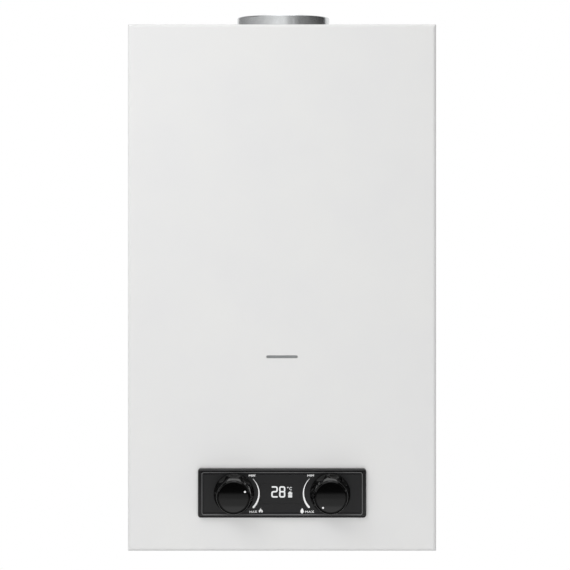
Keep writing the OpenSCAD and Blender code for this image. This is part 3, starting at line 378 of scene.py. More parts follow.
# %% Turning helpers
def revolve(profile, columns=96, spin=None):
    """Turns (radius, height) rows round the Z axis; spin(angle, height, radius) may change the radius.

    X is the radius times the cosine of the angle, and Y is the radius times its sine.
    """
    profile = np.asarray(profile, float)
    angle = np.linspace(0, 2 * np.pi, columns, endpoint=False)
    radius = np.repeat(profile[:, :1], columns, 1)
    height = np.repeat(profile[:, 1:], columns, 1)
    if spin is not None:
        radius = spin(angle[None, :], height, radius)
    return np.stack([radius * np.cos(angle), radius * np.sin(angle), height], -1)


def to_front(points, x, y, z):
    """Turns a shape's own Z to the front (-Y) and its own Y up, then puts its origin at (x, y, z)."""
    return np.stack([points[..., 0] + x, y - points[..., 2], points[..., 1] + z], -1)


# %% [markdown]
# ## The knobs
# Each knob is a moulding with a skirt, a grip that nine thumb-sized scoops bite into, and a sloping rim.
# Nine spheres could be cut out of a turned body with Boolean modifiers, but those leave knife edges. Here
# the grip is a turned profile, and its radius at an angle and a height is the smaller of the turned radius
# and the distance to the nearest sphere, blended so that the ridges are soft, as a moulding's are.

# %% Knob shape
SCOOPS = 9
SCOOP_RADIUS = 9.5 * MM
SCOOP_DEPTH = 3.0 * MM
SCOOP_RISE = 6.5 * MM
SKIRT_HEIGHT = 2.5 * MM
SKIRT_STEP = 0.6 * MM
GRIP_ROWS = 60
RIM_SLOPE = 2.6 * MM
RIDGE_SOFTNESS = 0.35 * MM
CAP_GAP = 0.1 * MM
# How steeply a scoop ends where the ray misses its sphere.
FADE = 20


def knob_surface(skirt_r, top_r, face_r, cap_r, cap_depth, height, first_scoop):
    """Profile rows from the rear to the cap's recess, with the scoops taken out of the grip's radius."""
    grip_r = skirt_r - SKIRT_STEP
    grip_top = height - RIM_SLOPE
    grip = np.linspace([grip_r, SKIRT_HEIGHT], [top_r, grip_top], GRIP_ROWS)
    rear = [[0, 0], [skirt_r - 0.4 * MM, 0], [skirt_r, 0.4 * MM], [skirt_r, SKIRT_HEIGHT - 0.9 * MM],
            [skirt_r - 0.2 * MM, SKIRT_HEIGHT - 0.4 * MM]]
    rim = [[top_r - 0.25 * MM, grip_top + 0.35 * MM], [face_r + 0.3 * MM, height - 0.12 * MM],
           [face_r, height], [cap_r + CAP_GAP, height], [cap_r + CAP_GAP, height - cap_depth],
           [0, height - cap_depth]]
    middle = (grip_r + top_r) / 2 - SCOOP_DEPTH + SCOOP_RADIUS
    scoop_height = SKIRT_HEIGHT + SCOOP_RISE

    def scooped(angle, z, radius):
        """The smaller of the turned radius and the ray's way to the nearest sphere, softly joined.

        That way is the distance of the sphere's middle times the cosine of the angle off it, less the root
        of the sphere's radius squared less the squares of the distances in height and to the side.
        """
        step = 2 * np.pi / SCOOPS
        off = (angle - first_scoop + step / 2) % step - step / 2
        inside = SCOOP_RADIUS ** 2 - (z - scoop_height) ** 2 - (middle * np.sin(off)) ** 2
        hit = middle * np.cos(off) - np.sqrt(np.maximum(inside, 0))
        missed = middle * np.cos(off) + FADE * np.sqrt(np.maximum(-inside, 0))
        reach = np.where(inside > 0, hit, missed)
        blend = np.clip(0.5 + (reach - radius) / (2 * RIDGE_SOFTNESS), 0, 1)
        soft = reach * (1 - blend) + radius * blend - RIDGE_SOFTNESS * blend * (1 - blend)
        return np.where((z > SKIRT_HEIGHT) & (z < grip_top), np.minimum(soft, radius), radius)

    return revolve(np.vstack([rear, grip, rim]), columns=216, spin=scooped)


# %% [markdown]
# ## Caps and marks
# A polished disc is let into each knob's face, and its chamfer catches a thin ring of light. A cylinder
# with a Bevel modifier would do, but a turned profile of five points is the same shape with nothing to
# apply. The mark that points to the scale is a dot of ink.

# %% Knobs in place
GRIP_TAPER = 3.4 * MM
CAP_RIM = 0.4 * MM
CAP_CHAMFER = 0.25 * MM
MARK_RADIUS = 1.0 * MM
MARK_INSET = 2.1 * MM
MARK_INK = 0.06 * MM


def add_knob(knob, cap, mark_deg, scoop_deg):
    """The knob, its polished cap with a chamfered edge, and the printed mark that points to the scale."""
    low, high = (np.array(c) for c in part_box(knob))
    cap_low, cap_high = (np.array(c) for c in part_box(cap))
    x, z = (low[0] + high[0]) / 2, (low[2] + high[2]) / 2
    rear, height = high[1], high[1] - low[1]
    cap_r, cap_depth = (cap_high[0] - cap_low[0]) / 2, cap_high[1] - cap_low[1]
    skirt_r = (high[0] - low[0]) / 2
    grip = knob_surface(skirt_r, skirt_r - GRIP_TAPER, cap_r + CAP_RIM, cap_r, cap_depth, height,
                        math.radians(scoop_deg))
    grip_sheets = [(to_front(grip, x, rear, z), True)]
    make_piece(knob + "_grip", grip_sheets, black_gloss_abs, knob, [knob], 50)
    cap_t = cap_depth - MARK_INK
    cap_profile = [[0, 0], [cap_r, 0], [cap_r, cap_t - CAP_CHAMFER], [cap_r - CAP_CHAMFER, cap_t], [0, cap_t]]
    face_sheets = [(to_front(revolve(cap_profile), x, cap_high[1], z), True)]
    make_piece(knob + "_face", face_sheets, black_polished, knob, [cap])
    turn = math.radians(mark_deg)
    mark_at = cap_r - MARK_INSET
    dot = revolve([[0, 0], [MARK_RADIUS, 0], [0.97 * MARK_RADIUS, 0.7 * MARK_INK], [0, MARK_INK]], columns=32)
    dot = to_front(dot, x + mark_at * math.cos(turn), cap_low[1] + MARK_INK, z + mark_at * math.sin(turn))
    make_piece(knob + "_mark", [(dot, True)], white_ink, knob)


GAS_MARK_DEG = 27
GAS_SCOOP_DEG = 88
WATER_MARK_DEG = 232
WATER_SCOOP_DEG = 80
add_knob("gas_knob", "gas_knob_cap", GAS_MARK_DEG, GAS_SCOOP_DEG)
add_knob("water_knob", "water_knob_cap", WATER_MARK_DEG, WATER_SCOOP_DEG)

# %% [markdown]
# ## Plates with holes
# A Boolean modifier could cut the holes of a flat plate, but it leaves long thin triangles that shade
# badly. So the plate is made of cells, with one hole in each. In a cell, every point of the outline is
# joined to the point of the hole's edge that lies in the same direction. Neighbouring cells share the
# points of their common side, so the plate closes. Round the outside, steps of outset and height give the
# edge its chamfer and its wall.

# %% Plate helper
SIDE_POINTS = 12


def cell_outline(x0, x1, z0, z1):
    """Points round a rectangle, the same number on each side, from its lower left corner."""
    t = np.linspace(0, 1, SIDE_POINTS, endpoint=False)[:, None]
    corners = np.array([[x0, z0], [x1, z0], [x1, z1], [x0, z1], [x0, z0]], float)
    return np.concatenate([a + (b - a) * t for a, b in zip(corners[:-1], corners[1:])])


def round_hole(outline, centre, radius):
    """Each outline point moved straight towards the centre until it is radius away from it."""
    ray = outline - centre
    return centre + ray / np.linalg.norm(ray, axis=1)[:, None] * radius


def square_hole(outline, width, height):
    """The outline drawn in to a rectangle of this size round the same middle."""
    middle = (outline.min(0) + outline.max(0)) / 2
    return middle + (outline - middle) / (outline.max(0) - middle) * [width / 2, height / 2]


def at_height(loop, height):
    """A flat outline's points, all at one height."""
    return np.column_stack([loop, np.full(len(loop), height)])


def plate(cells, steps):
    """Cells are (outline, hole), left to right; steps go from the front face round the edge to the rear."""
    top, low = steps[0][1], steps[-1][1]
    sheets = [(np.stack([at_height(hole, top), at_height(outline, top)]), True) for outline, hole in cells]
    sheets += [(np.stack([at_height(hole, top), at_height(hole, low)]), True) for outline, hole in cells]
    sheets += [(np.stack([at_height(hole, low), at_height(outline, low)]), True) for outline, hole in cells]
    n = SIDE_POINTS
    rim = np.concatenate([outline[:n] for outline, hole in cells] + [cells[-1][0][n:2 * n]]
                         + [outline[2 * n:3 * n] for outline, hole in cells[::-1]] + [cells[0][0][3 * n:]])
    middle, half = (rim.min(0) + rim.max(0)) / 2, (rim.max(0) - rim.min(0)) / 2
    out = np.sign(np.round((rim - middle) / half, 6).astype(int))
    sheets.append((np.stack([at_height(rim + out * outset, height) for outset, height in steps]), True))
    return sheets


# %% [markdown]
# ## Rounded outlines
# The fascia's frame and its bead follow a rectangle with round corners. A box with a Bevel modifier has
# such corners too, but the frame's section changes all the way from the wall to the panel. So a section,
# given as steps of inset and height, is carried round the outline.

# %% Outline helpers
CORNER_POINTS = 8
SMALLEST_CORNER = 0.2 * MM


def rounded_loop(half_w, half_h, radius):
    """The outline of a rectangle with round corners: four quarter circles joined by straight lines."""
    turn = np.linspace(0, np.pi / 2, CORNER_POINTS)
    corner = np.array([[1, 1], [-1, 1], [-1, -1], [1, -1]])
    centre = corner * [half_w - radius, half_h - radius]
    angle = turn[None, :] + np.arange(4)[:, None] * np.pi / 2
    arc = np.stack([np.cos(angle), np.sin(angle)], -1) * radius + centre[:, None, :]
    return arc.reshape(-1, 2)


def loft(half_w, half_h, radius, steps):
    """Carries a rounded outline through (inset, height) steps: an inset takes as much off the corners."""
    loops = [rounded_loop(half_w - inset, half_h - inset, max(radius - inset, SMALLEST_CORNER))
             for inset, height in steps]
    return np.stack([at_height(loop, height) for loop, (inset, height) in zip(loops, steps)])


# %% [markdown]
# ## The fascia's frame
# The frame is a moulded ring: a wall that stands on the cover, a rim that rolls over towards the panel, a
# lip, and a rear frame that plugs into the cover. Its floor carries the panel. A Bevel modifier could round
# the rim, but its round is a circle, and this one isn't. The rim's roll is a quarter of a superellipse of
# the fourth degree, where sine and cosine stand under a square root. So its outer half is nearly a wall
# that faces the light, and its inner half is nearly flat.

# %% Fascia frame
RIM_WIDTH = 4.3 * MM
RISE = cover_front - bezel_low[1]
WALL_HEIGHT = 1.5 * MM
SPIGOT = bezel_high[1] - cover_front
LIP = 0.9 * MM
FRAME_CORNER = 3 * MM
SHELF = 2 * MM
FLOOR_TOP = RISE - (panel_high[1] - panel_low[1])
FLOOR_THICK = 2.5 * MM
FLOOR_LAP = 1.0 * MM
FLOOR_LOW = FLOOR_TOP - FLOOR_THICK
frame_half = np.array([bezel_high[0] - bezel_low[0], bezel_high[2] - bezel_low[2]]) / 2
rim_turn = np.linspace(0, np.pi / 2, 12)
rim_in = RIM_WIDTH * (1 - np.sqrt(np.abs(np.cos(rim_turn))))
rim_up = WALL_HEIGHT + (RISE - WALL_HEIGHT) * np.sqrt(np.sin(rim_turn))
rim_roll = list(zip(rim_in.tolist(), rim_up.tolist()))
inner = RIM_WIDTH + SHELF
frame_steps = [(inner, FLOOR_LOW), (inner, -SPIGOT), (RIM_WIDTH, -SPIGOT), (RIM_WIDTH, 0), (0, 0), *rim_roll,
               (RIM_WIDTH + LIP, RISE), (RIM_WIDTH + LIP, FLOOR_TOP - 0.3 * MM), (inner, FLOOR_LOW)]
frame_ring = loft(*frame_half, FRAME_CORNER, frame_steps)
knob_x = (np.array(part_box("water_knob")[0]) + np.array(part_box("water_knob")[1]))[0] / 2
window_box = [np.array(c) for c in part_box("display_window")]
window_size = window_box[1] - window_box[0]
CELL_X = window_size[0] / 2 + 3 * MM
HOLE_R = 7 * MM
BOARD_OPENING = (36 * MM, 16 * MM)


def three_cells(half_w, half_h, middle_w, middle_h):
    """A left cell with a spindle hole, a middle cell with a window, and a right cell with a spindle hole."""
    left = cell_outline(-half_w, -CELL_X, -half_h, half_h)
    centre = cell_outline(-CELL_X, CELL_X, -half_h, half_h)
    right = cell_outline(CELL_X, half_w, -half_h, half_h)
    return [(left, round_hole(left, [-knob_x, 0], HOLE_R)), (centre, square_hole(centre, middle_w, middle_h)),
            (right, round_hole(right, [knob_x, 0], HOLE_R))]


floor_half = frame_half - inner + FLOOR_LAP
floor_sheets = plate(three_cells(*floor_half, *BOARD_OPENING), [(0, FLOOR_TOP), (0, FLOOR_LOW)])
frame_sheets = [(to_front(grid, 0, cover_front, control_z), wrap)
                for grid, wrap in [(frame_ring, True), *floor_sheets]]
make_piece("fascia_frame", frame_sheets, black_satin_abs, "heater", ["fascia_bezel"])

# %% [markdown]
# ## The fascia's panel
# The panel is a sheet of black acrylic with a chamfered edge, a hole for each spindle and an opening for
# the display's window. It could be a bevelled box with Boolean holes, but the cells of the plate keep its
# face flat and evenly shaded.

# %% Fascia panel
CHAMFER = 0.5 * MM
panel_half = (panel_high - panel_low)[[0, 2]] / 2 - CHAMFER
panel_t = panel_high[1] - panel_low[1]
WINDOW_GAP = 0.1 * MM
panel_cells = three_cells(*panel_half, window_size[0] + 2 * WINDOW_GAP, window_size[2] + 2 * WINDOW_GAP)
panel_grids = plate(panel_cells, [(0, panel_t), (CHAMFER, panel_t - CHAMFER), (CHAMFER, 0), (0, 0)])
panel_sheets = [(to_front(grid, 0, panel_high[1], control_z), wrap) for grid, wrap in panel_grids]
make_piece("fascia_face", panel_sheets, black_acrylic, "heater", ["fascia_panel"])

# %% [markdown]
# ## The bead round the panel
# A thin bead stands on the frame's lip and leans in towards the panel, so the light from above shows on it
# below and at the sides, and hardly above. A painted line would be equally bright on all sides, so the bead
# has a shape: a low triangle carried along the rounded outline of the lip. Its mid grey colour is a painted
# highlight on what is a black edge.

# %% Panel bead
BEAD = 0.42 * MM
BEAD_HEIGHT = 0.5 * MM
BEAD_INSET = np.array([4.4, 3.7]) * MM
BEAD_CORNER = 2.0 * MM
bead_half = frame_half - BEAD_INSET
bead_steps = [(-BEAD, 0), (-BEAD, BEAD_HEIGHT), (BEAD, 0)]
bead_grid = loft(*bead_half, BEAD_CORNER, bead_steps)
bead_sheets = [(to_front(bead_grid, 0, bezel_low[1], control_z), True)]
# The bead's mid grey finish is a painted highlight on a black edge.
make_piece("panel_bead", bead_sheets, bead_painted_highlight, "heater", sharp_deg=60)

# %% [markdown]
# ## The printed scales and the lit figures
# A printed line is a ribbon: a path in the panel's plane, a width at each point of the path, and a few
# hundredths of a millimetre of ink. Text objects and curves could draw it, but a ribbon can grow along its
# way and is a mesh from the start. The ends are half circles, where the half width is the square root of r
# squared less the distance along the path squared. Letters and figures are short strokes, so they need no
# font.

# %% Ribbon helpers
INK = 0.05 * MM


def smooth_path(corners, softness, steps=9):
    """Rounds the corners of a line: near each one, a parabola leaves one side and arrives on the other."""
    corners = np.asarray(corners, float)
    pieces = [corners[:1]]
    t = np.linspace(0, 1, steps)[:, None]
    for before, at, after in zip(corners[:-2], corners[1:-1], corners[2:]):
        leave = at + (before - at) * min(softness / np.linalg.norm(before - at), 0.5)
        arrive = at + (after - at) * min(softness / np.linalg.norm(after - at), 0.5)
        pieces.append((1 - t) ** 2 * leave + 2 * t * (1 - t) * at + t ** 2 * arrive)
    return np.concatenate(pieces + [corners[-1:]])


def ribbon(path, width, front):
    """A line of ink with round ends at y = front. Path rows are (x, z); width is one value or a row."""
    path = np.asarray(path, float)
    half = np.broadcast_to(np.asarray(width, float) / 2, len(path)).copy()
    along = np.gradient(path, axis=0)
    along /= np.linalg.norm(along, axis=1)[:, None]
    cap = np.sin(np.linspace(np.pi / 2, 0, 6))[:-1]
    rise = np.sqrt(1 - cap ** 2)
    first = path[0] - along[0] * half[0] * cap[:, None]
    last = path[-1] + along[-1] * half[-1] * cap[::-1, None]
    middle = np.concatenate([first, path, last])
    side = np.concatenate([np.repeat(along[:1], len(cap), 0), along, np.repeat(along[-1:], len(cap), 0)])
    side = np.stack([-side[:, 1], side[:, 0]], -1)
    half = np.concatenate([half[0] * rise, half, half[-1] * rise[::-1]])[:, None]
    left, right = middle + side * half, middle - side * half
    rear, proud = np.full(len(middle), front), np.full(len(middle), front - INK)
    return np.stack([np.column_stack([edge[:, 0], y, edge[:, 1]])
                     for edge, y in ((left, rear), (left, proud), (right, proud), (right, rear))], 1)


LETTERS = {
    "M": [[(0, 0), (0, 1)], [(0, 1), (0.5, 0.3)], [(0.5, 0.3), (1, 1)], [(1, 1), (1, 0)]],
    "I": [[(0, 0), (0, 1)]],
    "N": [[(0, 0), (0, 1)], [(0, 1), (0.8, 0)], [(0.8, 0), (0.8, 1)]],
    "A": [[(0, 0), (0.45, 1)], [(0.45, 1), (0.9, 0)], [(0.18, 0.35), (0.72, 0.35)]],
    "X": [[(0, 0), (0.85, 1)], [(0, 1), (0.85, 0)]],
}
LETTER_WIDTH = {"M": 1.0, "I": 0.0, "N": 0.8, "A": 0.9, "X": 0.85}
LETTER_GAP = 0.42


def word(letters, left, low, right, high, stroke, front):
    """A row of stroke letters that fills the box from (left, low) to (right, high)."""
    total = sum(LETTER_WIDTH[c] for c in letters) + LETTER_GAP * (len(letters) - 1)
    scale = np.array([(right - left - stroke) / total, high - low - stroke])
    start, ribbons = np.array([left + stroke / 2, low + stroke / 2]), []
    for letter in letters:
        ribbons += [ribbon(start + np.array(line) * scale, stroke, front) for line in LETTERS[letter]]
        start = start + [(LETTER_WIDTH[letter] + LETTER_GAP) * scale[0], 0]
    return ribbons


def on_panel(grids, up_mm):
    """Places shapes drawn in millimetres round a point above the fascia's middle, with their wrap flag."""
    return [(grid * [MM, 1, MM] + [0, 0, control_z + up_mm * MM], True) for grid in grids]


# %% [markdown]
# ## The scales beside the knobs
# Each scale grows from a hair line at MIN to a round end at MAX, on an arc through three points. A flame
# stands by the gas scale and a drop by the water scale. On the real panel all of this is printed in one
# pass, so it is one piece here.

# %% Scales
SCALE_POINTS = 40


def arc_through(a, b, c):
    """Points on the circle through a, b and c, from a to c: the centre is where the bisectors meet."""
    a, b, c = (np.array(p, float) for p in (a, b, c))
    system = 2 * np.array([b - a, c - a])
    centre = np.linalg.solve(system, [b @ b - a @ a, c @ c - a @ a])
    angles = np.unwrap([math.atan2(*(p - centre)[::-1]) for p in (a, b, c)])
    turn = np.linspace(angles[0], angles[2], SCALE_POINTS)
    return centre + np.linalg.norm(a - centre) * np.column_stack([np.cos(turn), np.sin(turn)])


SCALE_WIDTH = np.linspace(0.4, 2.15, SCALE_POINTS)
WORD_STROKE = 0.58
gas_scale = ribbon(arc_through((-30.2, 14.7), (-24.0, 0.5), (-29.7, -14.5)), SCALE_WIDTH, panel_front)
water_scale = ribbon(arc_through((28.5, 14.9), (22.2, 0.5), (27.9, -14.4)), SCALE_WIDTH, panel_front)
flame_left = smooth_path([(-23.4, -19.5), (-23.9, -18.1), (-22.7, -17.1), (-22.4, -15.7)], 1.1)
flame_right = smooth_path([(-21.0, -19.5), (-20.5, -18.3), (-21.5, -17.4), (-22.1, -16.5)], 0.9)
flame = [ribbon(flame_left, np.linspace(1.25, 0.45, len(flame_left)), panel_front),
         ribbon(flame_right, np.linspace(1.25, 0.5, len(flame_right)), panel_front),
         ribbon([(-22.2, -18.5), (-22.4, -16.3)], np.array([1.3, 0.5]), panel_front)]
drop_turn = np.linspace(0.02, np.pi, 24)
drop_path = np.column_stack([np.full(len(drop_turn), 20.8), -17.9 + 2.7 * np.cos(drop_turn)])
drop = ribbon(drop_path[:-2], (4.9 * np.sin(drop_turn) * np.sin(drop_turn / 2) ** 1.4)[:-2], panel_front)
scales = [gas_scale, water_scale, drop, *flame]
for letters, *box in (("MIN", -34.7, 17.15, -28.0, 19.75), ("MIN", 26.2, 17.15, 33.1, 19.75),
                      ("MAX", -34.0, -20.5, -26.0, -17.9), ("MAX", 23.9, -20.5, 33.2, -17.9)):
    scales += word(letters, *box, WORD_STROKE, panel_front)
make_piece("scale_print", on_panel(scales, 0.45), white_ink, "heater")

# %% [markdown]
# ## The display
# The 2 is one line and the 8 is two loops, with soft corners, 12 mm high. Beside them are the unit and a
# battery, drawn as three bars under a short cap. A picture on the window could show them too, but strokes
# stay sharp from any distance.

# %% Display figures
FIGURE_STROKE = 1.55
SIGN_STROKE = 0.55
window_front = window_box[0][1]
two = smooth_path([(-10.1, 6.2), (-5.2, 6.2), (-5.2, 1.3), (-10.5, 1.2), (-10.5, -4.1), (-5.2, -4.1)], 1.8)
eight = smooth_path([(0.1, 1.25), (-2.35, 1.25), (-2.35, 6.2), (2.6, 6.2), (2.6, 1.25), (0.1, 1.25)], 1.6)
eight_low = smooth_path([(0.1, 1.25), (-2.35, 1.25), (-2.35, -4.1), (2.6, -4.1), (2.6, 1.25),
                         (0.1, 1.25)], 1.6)
ring_turn = np.linspace(0, 2 * np.pi, 24)
degree = np.column_stack([6.0 + 0.45 * np.cos(ring_turn), 5.6 + 0.45 * np.sin(ring_turn)])
c_turn = np.linspace(0.75, 2 * np.pi - 0.75, 24)
unit_c = np.column_stack([9.1 + 1.2 * np.cos(c_turn), 4.4 + 1.45 * np.sin(c_turn)])
figures = [ribbon(line, FIGURE_STROKE, window_front) for line in (two, eight, eight_low)]
figures += [ribbon(line, SIGN_STROKE, window_front) for line in (degree, unit_c)]
figures += [ribbon([(8.4 - half, up), (8.4 + half, up)], thick, window_front)
            for up, half, thick in ((0.95, 0.9, 0.8), (-0.3, 1.5, 1.5), (-2.2, 1.5, 1.5), (-4.0, 1.5, 1.5))]
make_piece("display_figures", on_panel(figures, 0.75), lit_figures, "heater")

# %% [markdown]
# ## The flue collar
# The collar is rolled from galvanised strip: the strip's ends lap in a seam a little to the right of the
# front, and the rim is rolled inwards into a bead. A cylinder with a Solidify modifier would have neither
# bead nor seam, so a closed profile of radius and height is turned instead. The lap is pressed nearly flat,
# so it adds only a sixth of the strip's thickness over a few degrees.

# %% Flue collar
STRIP = 1.2 * MM
SEAM_DEG = -74
LAP_DEG = 7
LAP_STEP = STRIP / 6
FLANGE = 5 * MM
ROLL_R = 1.6 * MM
WALL_ROWS = 10
collar_r = (collar_high[0] - collar_low[0]) / 2 - FLANGE
collar_h = collar_high[2] - collar_low[2]


def lapped(angle, height, radius):
    """Adds a sixth of the strip's thickness inside the lap, with a soft step at both of its edges."""
    off = np.degrees((angle - math.radians(SEAM_DEG) + np.pi) % (2 * np.pi) - np.pi)
    step = np.clip((LAP_DEG / 2 - np.abs(off)) / 2.0 + 0.5, 0, 1)
    wall = (radius > collar_r - 0.1 * MM) & (radius < collar_r + 0.1 * MM) & (height < collar_h - 4 * MM)
    return radius + np.where(wall, LAP_STEP * step, 0)


roll_turn = np.linspace(0, 1.58 * np.pi, 20)
roll_middle = [collar_r - ROLL_R, collar_h - ROLL_R]
roll = np.column_stack([np.cos(roll_turn), np.sin(roll_turn)]) * ROLL_R + roll_middle
wall_out = np.linspace([collar_r, STRIP], [collar_r, collar_h - ROLL_R - 0.2 * MM], WALL_ROWS)
foot = [[collar_r - STRIP, 0], [collar_r + FLANGE, 0], [collar_r + FLANGE, STRIP],
        [collar_r + 0.6 * MM, STRIP]]
collar_profile = np.vstack([foot, wall_out, roll, [[collar_r - STRIP, 0]]])
collar_grid = revolve(collar_profile, columns=360, spin=lapped) + [flue_axis[0], flue_axis[1], collar_low[2]]
make_piece("flue_spigot", [(collar_grid, True)], collar_steel, "heater",
           ["flue_collar"], 50)

# %% [markdown]
# ## Connections under the base
# The connections are brass nipples with a half-inch pipe thread, 14 threads to the inch. A Screw modifier
# could wind a thread round a core, but its ends are hard to close. Here the thread is a turned surface
# whose radius rises and falls with the height less the angle, so its groove climbs one pitch in each turn.
# A hexagon's radius is its half width over the cosine of the angle from the nearest flat, and a circle
# trims its corners, as the lathe does before the flats are milled.

# %% Nipples and lock nuts
PITCH = 25.4 / 14 * MM
THREAD_R = 10.48 * MM
THREAD_DEPTH = 0.95 * MM
HEX_HALF = 12.99 * MM
NUT_HALF = 13.42 * MM
MILLED_FROM = 12 * MM
bottom_edge = cover_low[2]


def hexagon(angle, half_width, flat_deg):
    """Radius of a hexagon with a flat at flat_deg: half width over the cosine of the angle from it."""
    off = (angle - math.radians(flat_deg) + np.pi / 6) % (np.pi / 3) - np.pi / 6
    return half_width / np.cos(off)


def nipple_grid(low, high):
    """A closed profile: neck, hexagon, plain shank, run-out groove, pipe thread, bore."""
    thread_top = bottom_edge - 5.0 * MM
    heights = np.arange(thread_top, low + 0.8 * MM, -PITCH / 14)
    thread = np.column_stack([np.full(len(heights), THREAD_R), heights])
    neck = [[5.5 * MM, high], [9 * MM, high]]
    body = np.array([[9, 10.4], [13, 10.4], [15, 9.6], [15, 3.2], [13, 2.4], [11, 2.4], [11, -3.8],
                     [9.48, -3.8], [9.48, -5]]) * MM + [0, bottom_edge]
    bore = np.array([[9.5, low], [7.4, low], [6.98, low + 0.4 * MM], [6.98, bottom_edge + 9.4 * MM],
                     [5.5, bottom_edge + 9.4 * MM], [5.5, high]]) * [MM, 1]

    def cut(angle, z, radius):
        """Cuts the thread's groove, a triangle in each pitch, and mills the hexagon's flats."""
        turn = (z / PITCH - angle / (2 * np.pi)) % 1
        runout = np.clip((thread_top - z) / PITCH, 0, 1)
        threaded = radius - THREAD_DEPTH * (1 - np.abs(2 * turn - 1)) * runout
        radius = np.where(np.abs(radius - THREAD_R) < MERGE_DISTANCE, threaded, radius)
        return np.where(radius > MILLED_FROM, np.minimum(hexagon(angle, HEX_HALF, 30), radius), radius)

    return revolve(np.vstack([neck, body, thread, bore]), spin=cut)


nut_low, nut_high = (np.array(c)[2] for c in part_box("nipple_nuts"))
nut_profile = [[11.1, nut_high], [13.4, nut_high], [15.5, nut_high - 0.8 * MM], [15.5, nut_low + 0.8 * MM],
               [13.4, nut_low], [11.9, nut_low], [11.1, nut_low + 0.8 * MM], [11.1, nut_high]]
nut_profile = np.array(nut_profile) * [MM, 1]


def nut_flats(angle, z, radius):
    """Trims the turned nut to its six flats and leaves the bore."""
    return np.where(radius > MILLED_FROM, np.minimum(hexagon(angle, NUT_HALF, 0), radius), radius)


nut_ring = revolve(nut_profile, spin=nut_flats)
nuts = []
for node in ("hot_nipple", "gas_nipple", "cold_nipple"):
    low, high = (np.array(c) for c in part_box(node))
    axis = np.array([(low[0] + high[0]) / 2, (low[1] + high[1]) / 2, 0])
    nipple = [(nipple_grid(low[2], high[2]) + axis, True)]
    make_piece(node + "_threaded", nipple, machined_brass, "heater", [node], 40)
    nuts.append((nut_ring + axis, True))
make_piece("lock_nuts", nuts, machined_brass, "heater", ["nipple_nuts"], 25)

# %% [markdown]
# ## The cover's screws
# Two pan-head screws hold the cover's bottom lip. The head is a flat dome, and the driver's cross is
# pressed into it. A Boolean cut would do, but for so small a thing it is enough to push the dome's points
# in. A point lies in the cross where the smaller of its two distances from the arms' middle lines is under
# half an arm.

# %% Cover screws
HEAD_R = 3.8 * MM
SHANK_R = 2.0 * MM
CROSS_HALF = 0.5 * MM
CROSS_REACH = 2.1 * MM
CROSS_DEPTH = 0.9 * MM
screw_low, screw_high = (np.array(c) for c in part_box("cover_screws"))
head_h = bottom_edge - screw_low[2]
dome = np.linspace(HEAD_R - 0.3 * MM, 0, 30)
dome_rows = np.column_stack([dome, screw_low[2] + 0.55 * head_h * (dome / HEAD_R) ** 4])
shank = [[0, screw_high[2]], [SHANK_R - 0.5 * MM, screw_high[2]], [SHANK_R, screw_high[2] - 0.7 * MM],
         [SHANK_R, bottom_edge], [HEAD_R, bottom_edge], [HEAD_R, bottom_edge - 0.45 * head_h]]
screw_grid = revolve(np.vstack([shank, dome_rows]))
across = np.abs(screw_grid[..., :2])
cross = np.clip((CROSS_HALF - across.min(-1)) / (0.12 * MM) + 0.5, 0, 1)
cross *= np.clip((CROSS_REACH - across.max(-1)) / (0.3 * MM) + 0.5, 0, 1)
cross[:len(shank)] = 0
screw_grid[..., 2] += cross * CROSS_DEPTH
screw_y = (screw_low[1] + screw_high[1]) / 2
screw_x = (screw_low[0] + HEAD_R, screw_high[0] - HEAD_R)
screw_sheets = [(screw_grid + [x, screw_y, 0], True) for x in screw_x]
make_piece("cover_screw_heads", screw_sheets, zinc_plate, "heater",
           ["cover_screws"], 40)

# %% [markdown]
# ## The world
# The photograph has a pure white ground and a soft light. A white sheet behind the heater could be that
# ground, but it would hide the heater in views from behind. So the world is white for the camera and for
# reflections, and dim for the light that falls on surfaces.

# %% World
scene = bpy.context.scene
scene.view_settings.view_transform = "Standard"
AMBIENT = 0.25
world = bpy.data.worlds.new("white room")
scene.world = world
world.use_nodes = True
sky = world.node_tree
background = sky.nodes["Background"]
path_kind = add(sky, "LightPath")
seen = add(sky, "Math", {"operation": "MAXIMUM"}, i0=path_kind.outputs["Is Camera Ray"],
           i1=path_kind.outputs["Is Glossy Ray"])
seen = add(sky, "Math", {"operation": "MAXIMUM"}, i0=seen.outputs[0],
           i1=path_kind.outputs["Is Transmission Ray"])
strength = add(sky, "MapRange", i0=seen.outputs[0], i3=AMBIENT, i4=1.0)
background.inputs["Color"].default_value = (1, 1, 1, 1)
sky.links.new(strength.outputs[0], background.inputs["Strength"])
print("world strength on surfaces:", AMBIENT)


# %% [markdown]
# ## Soft boxes
# In the photograph the cover is brightest at its upper left. The fascia has almost no dark edge round it,
# only a short shadow below, so most of the light came from large soft boxes beside and above the lens and
# little from the room. A sun lamp could light the front too, but its shadows are hard, and an area lamp's
# are soft. Two boxes behind the heater light its back and flanks, which the photograph doesn't show.

# %% Soft boxes
def soft_box(name, place, target, size, watts):
    """A square area lamp at place, turned so that it shines at target."""
    data = bpy.data.lights.new(name, "AREA")
    data.size, data.energy = size, watts
    lamp = bpy.data.objects.new(name, data)
    lamp.location = place
    aim = np.array(target) - np.array(place)
    lamp.rotation_euler = (math.atan2(math.hypot(aim[0], aim[1]), -aim[2]), 0,
                           math.atan2(aim[1], aim[0]) - math.pi / 2)
    scene.collection.objects.link(lamp)
    return lamp


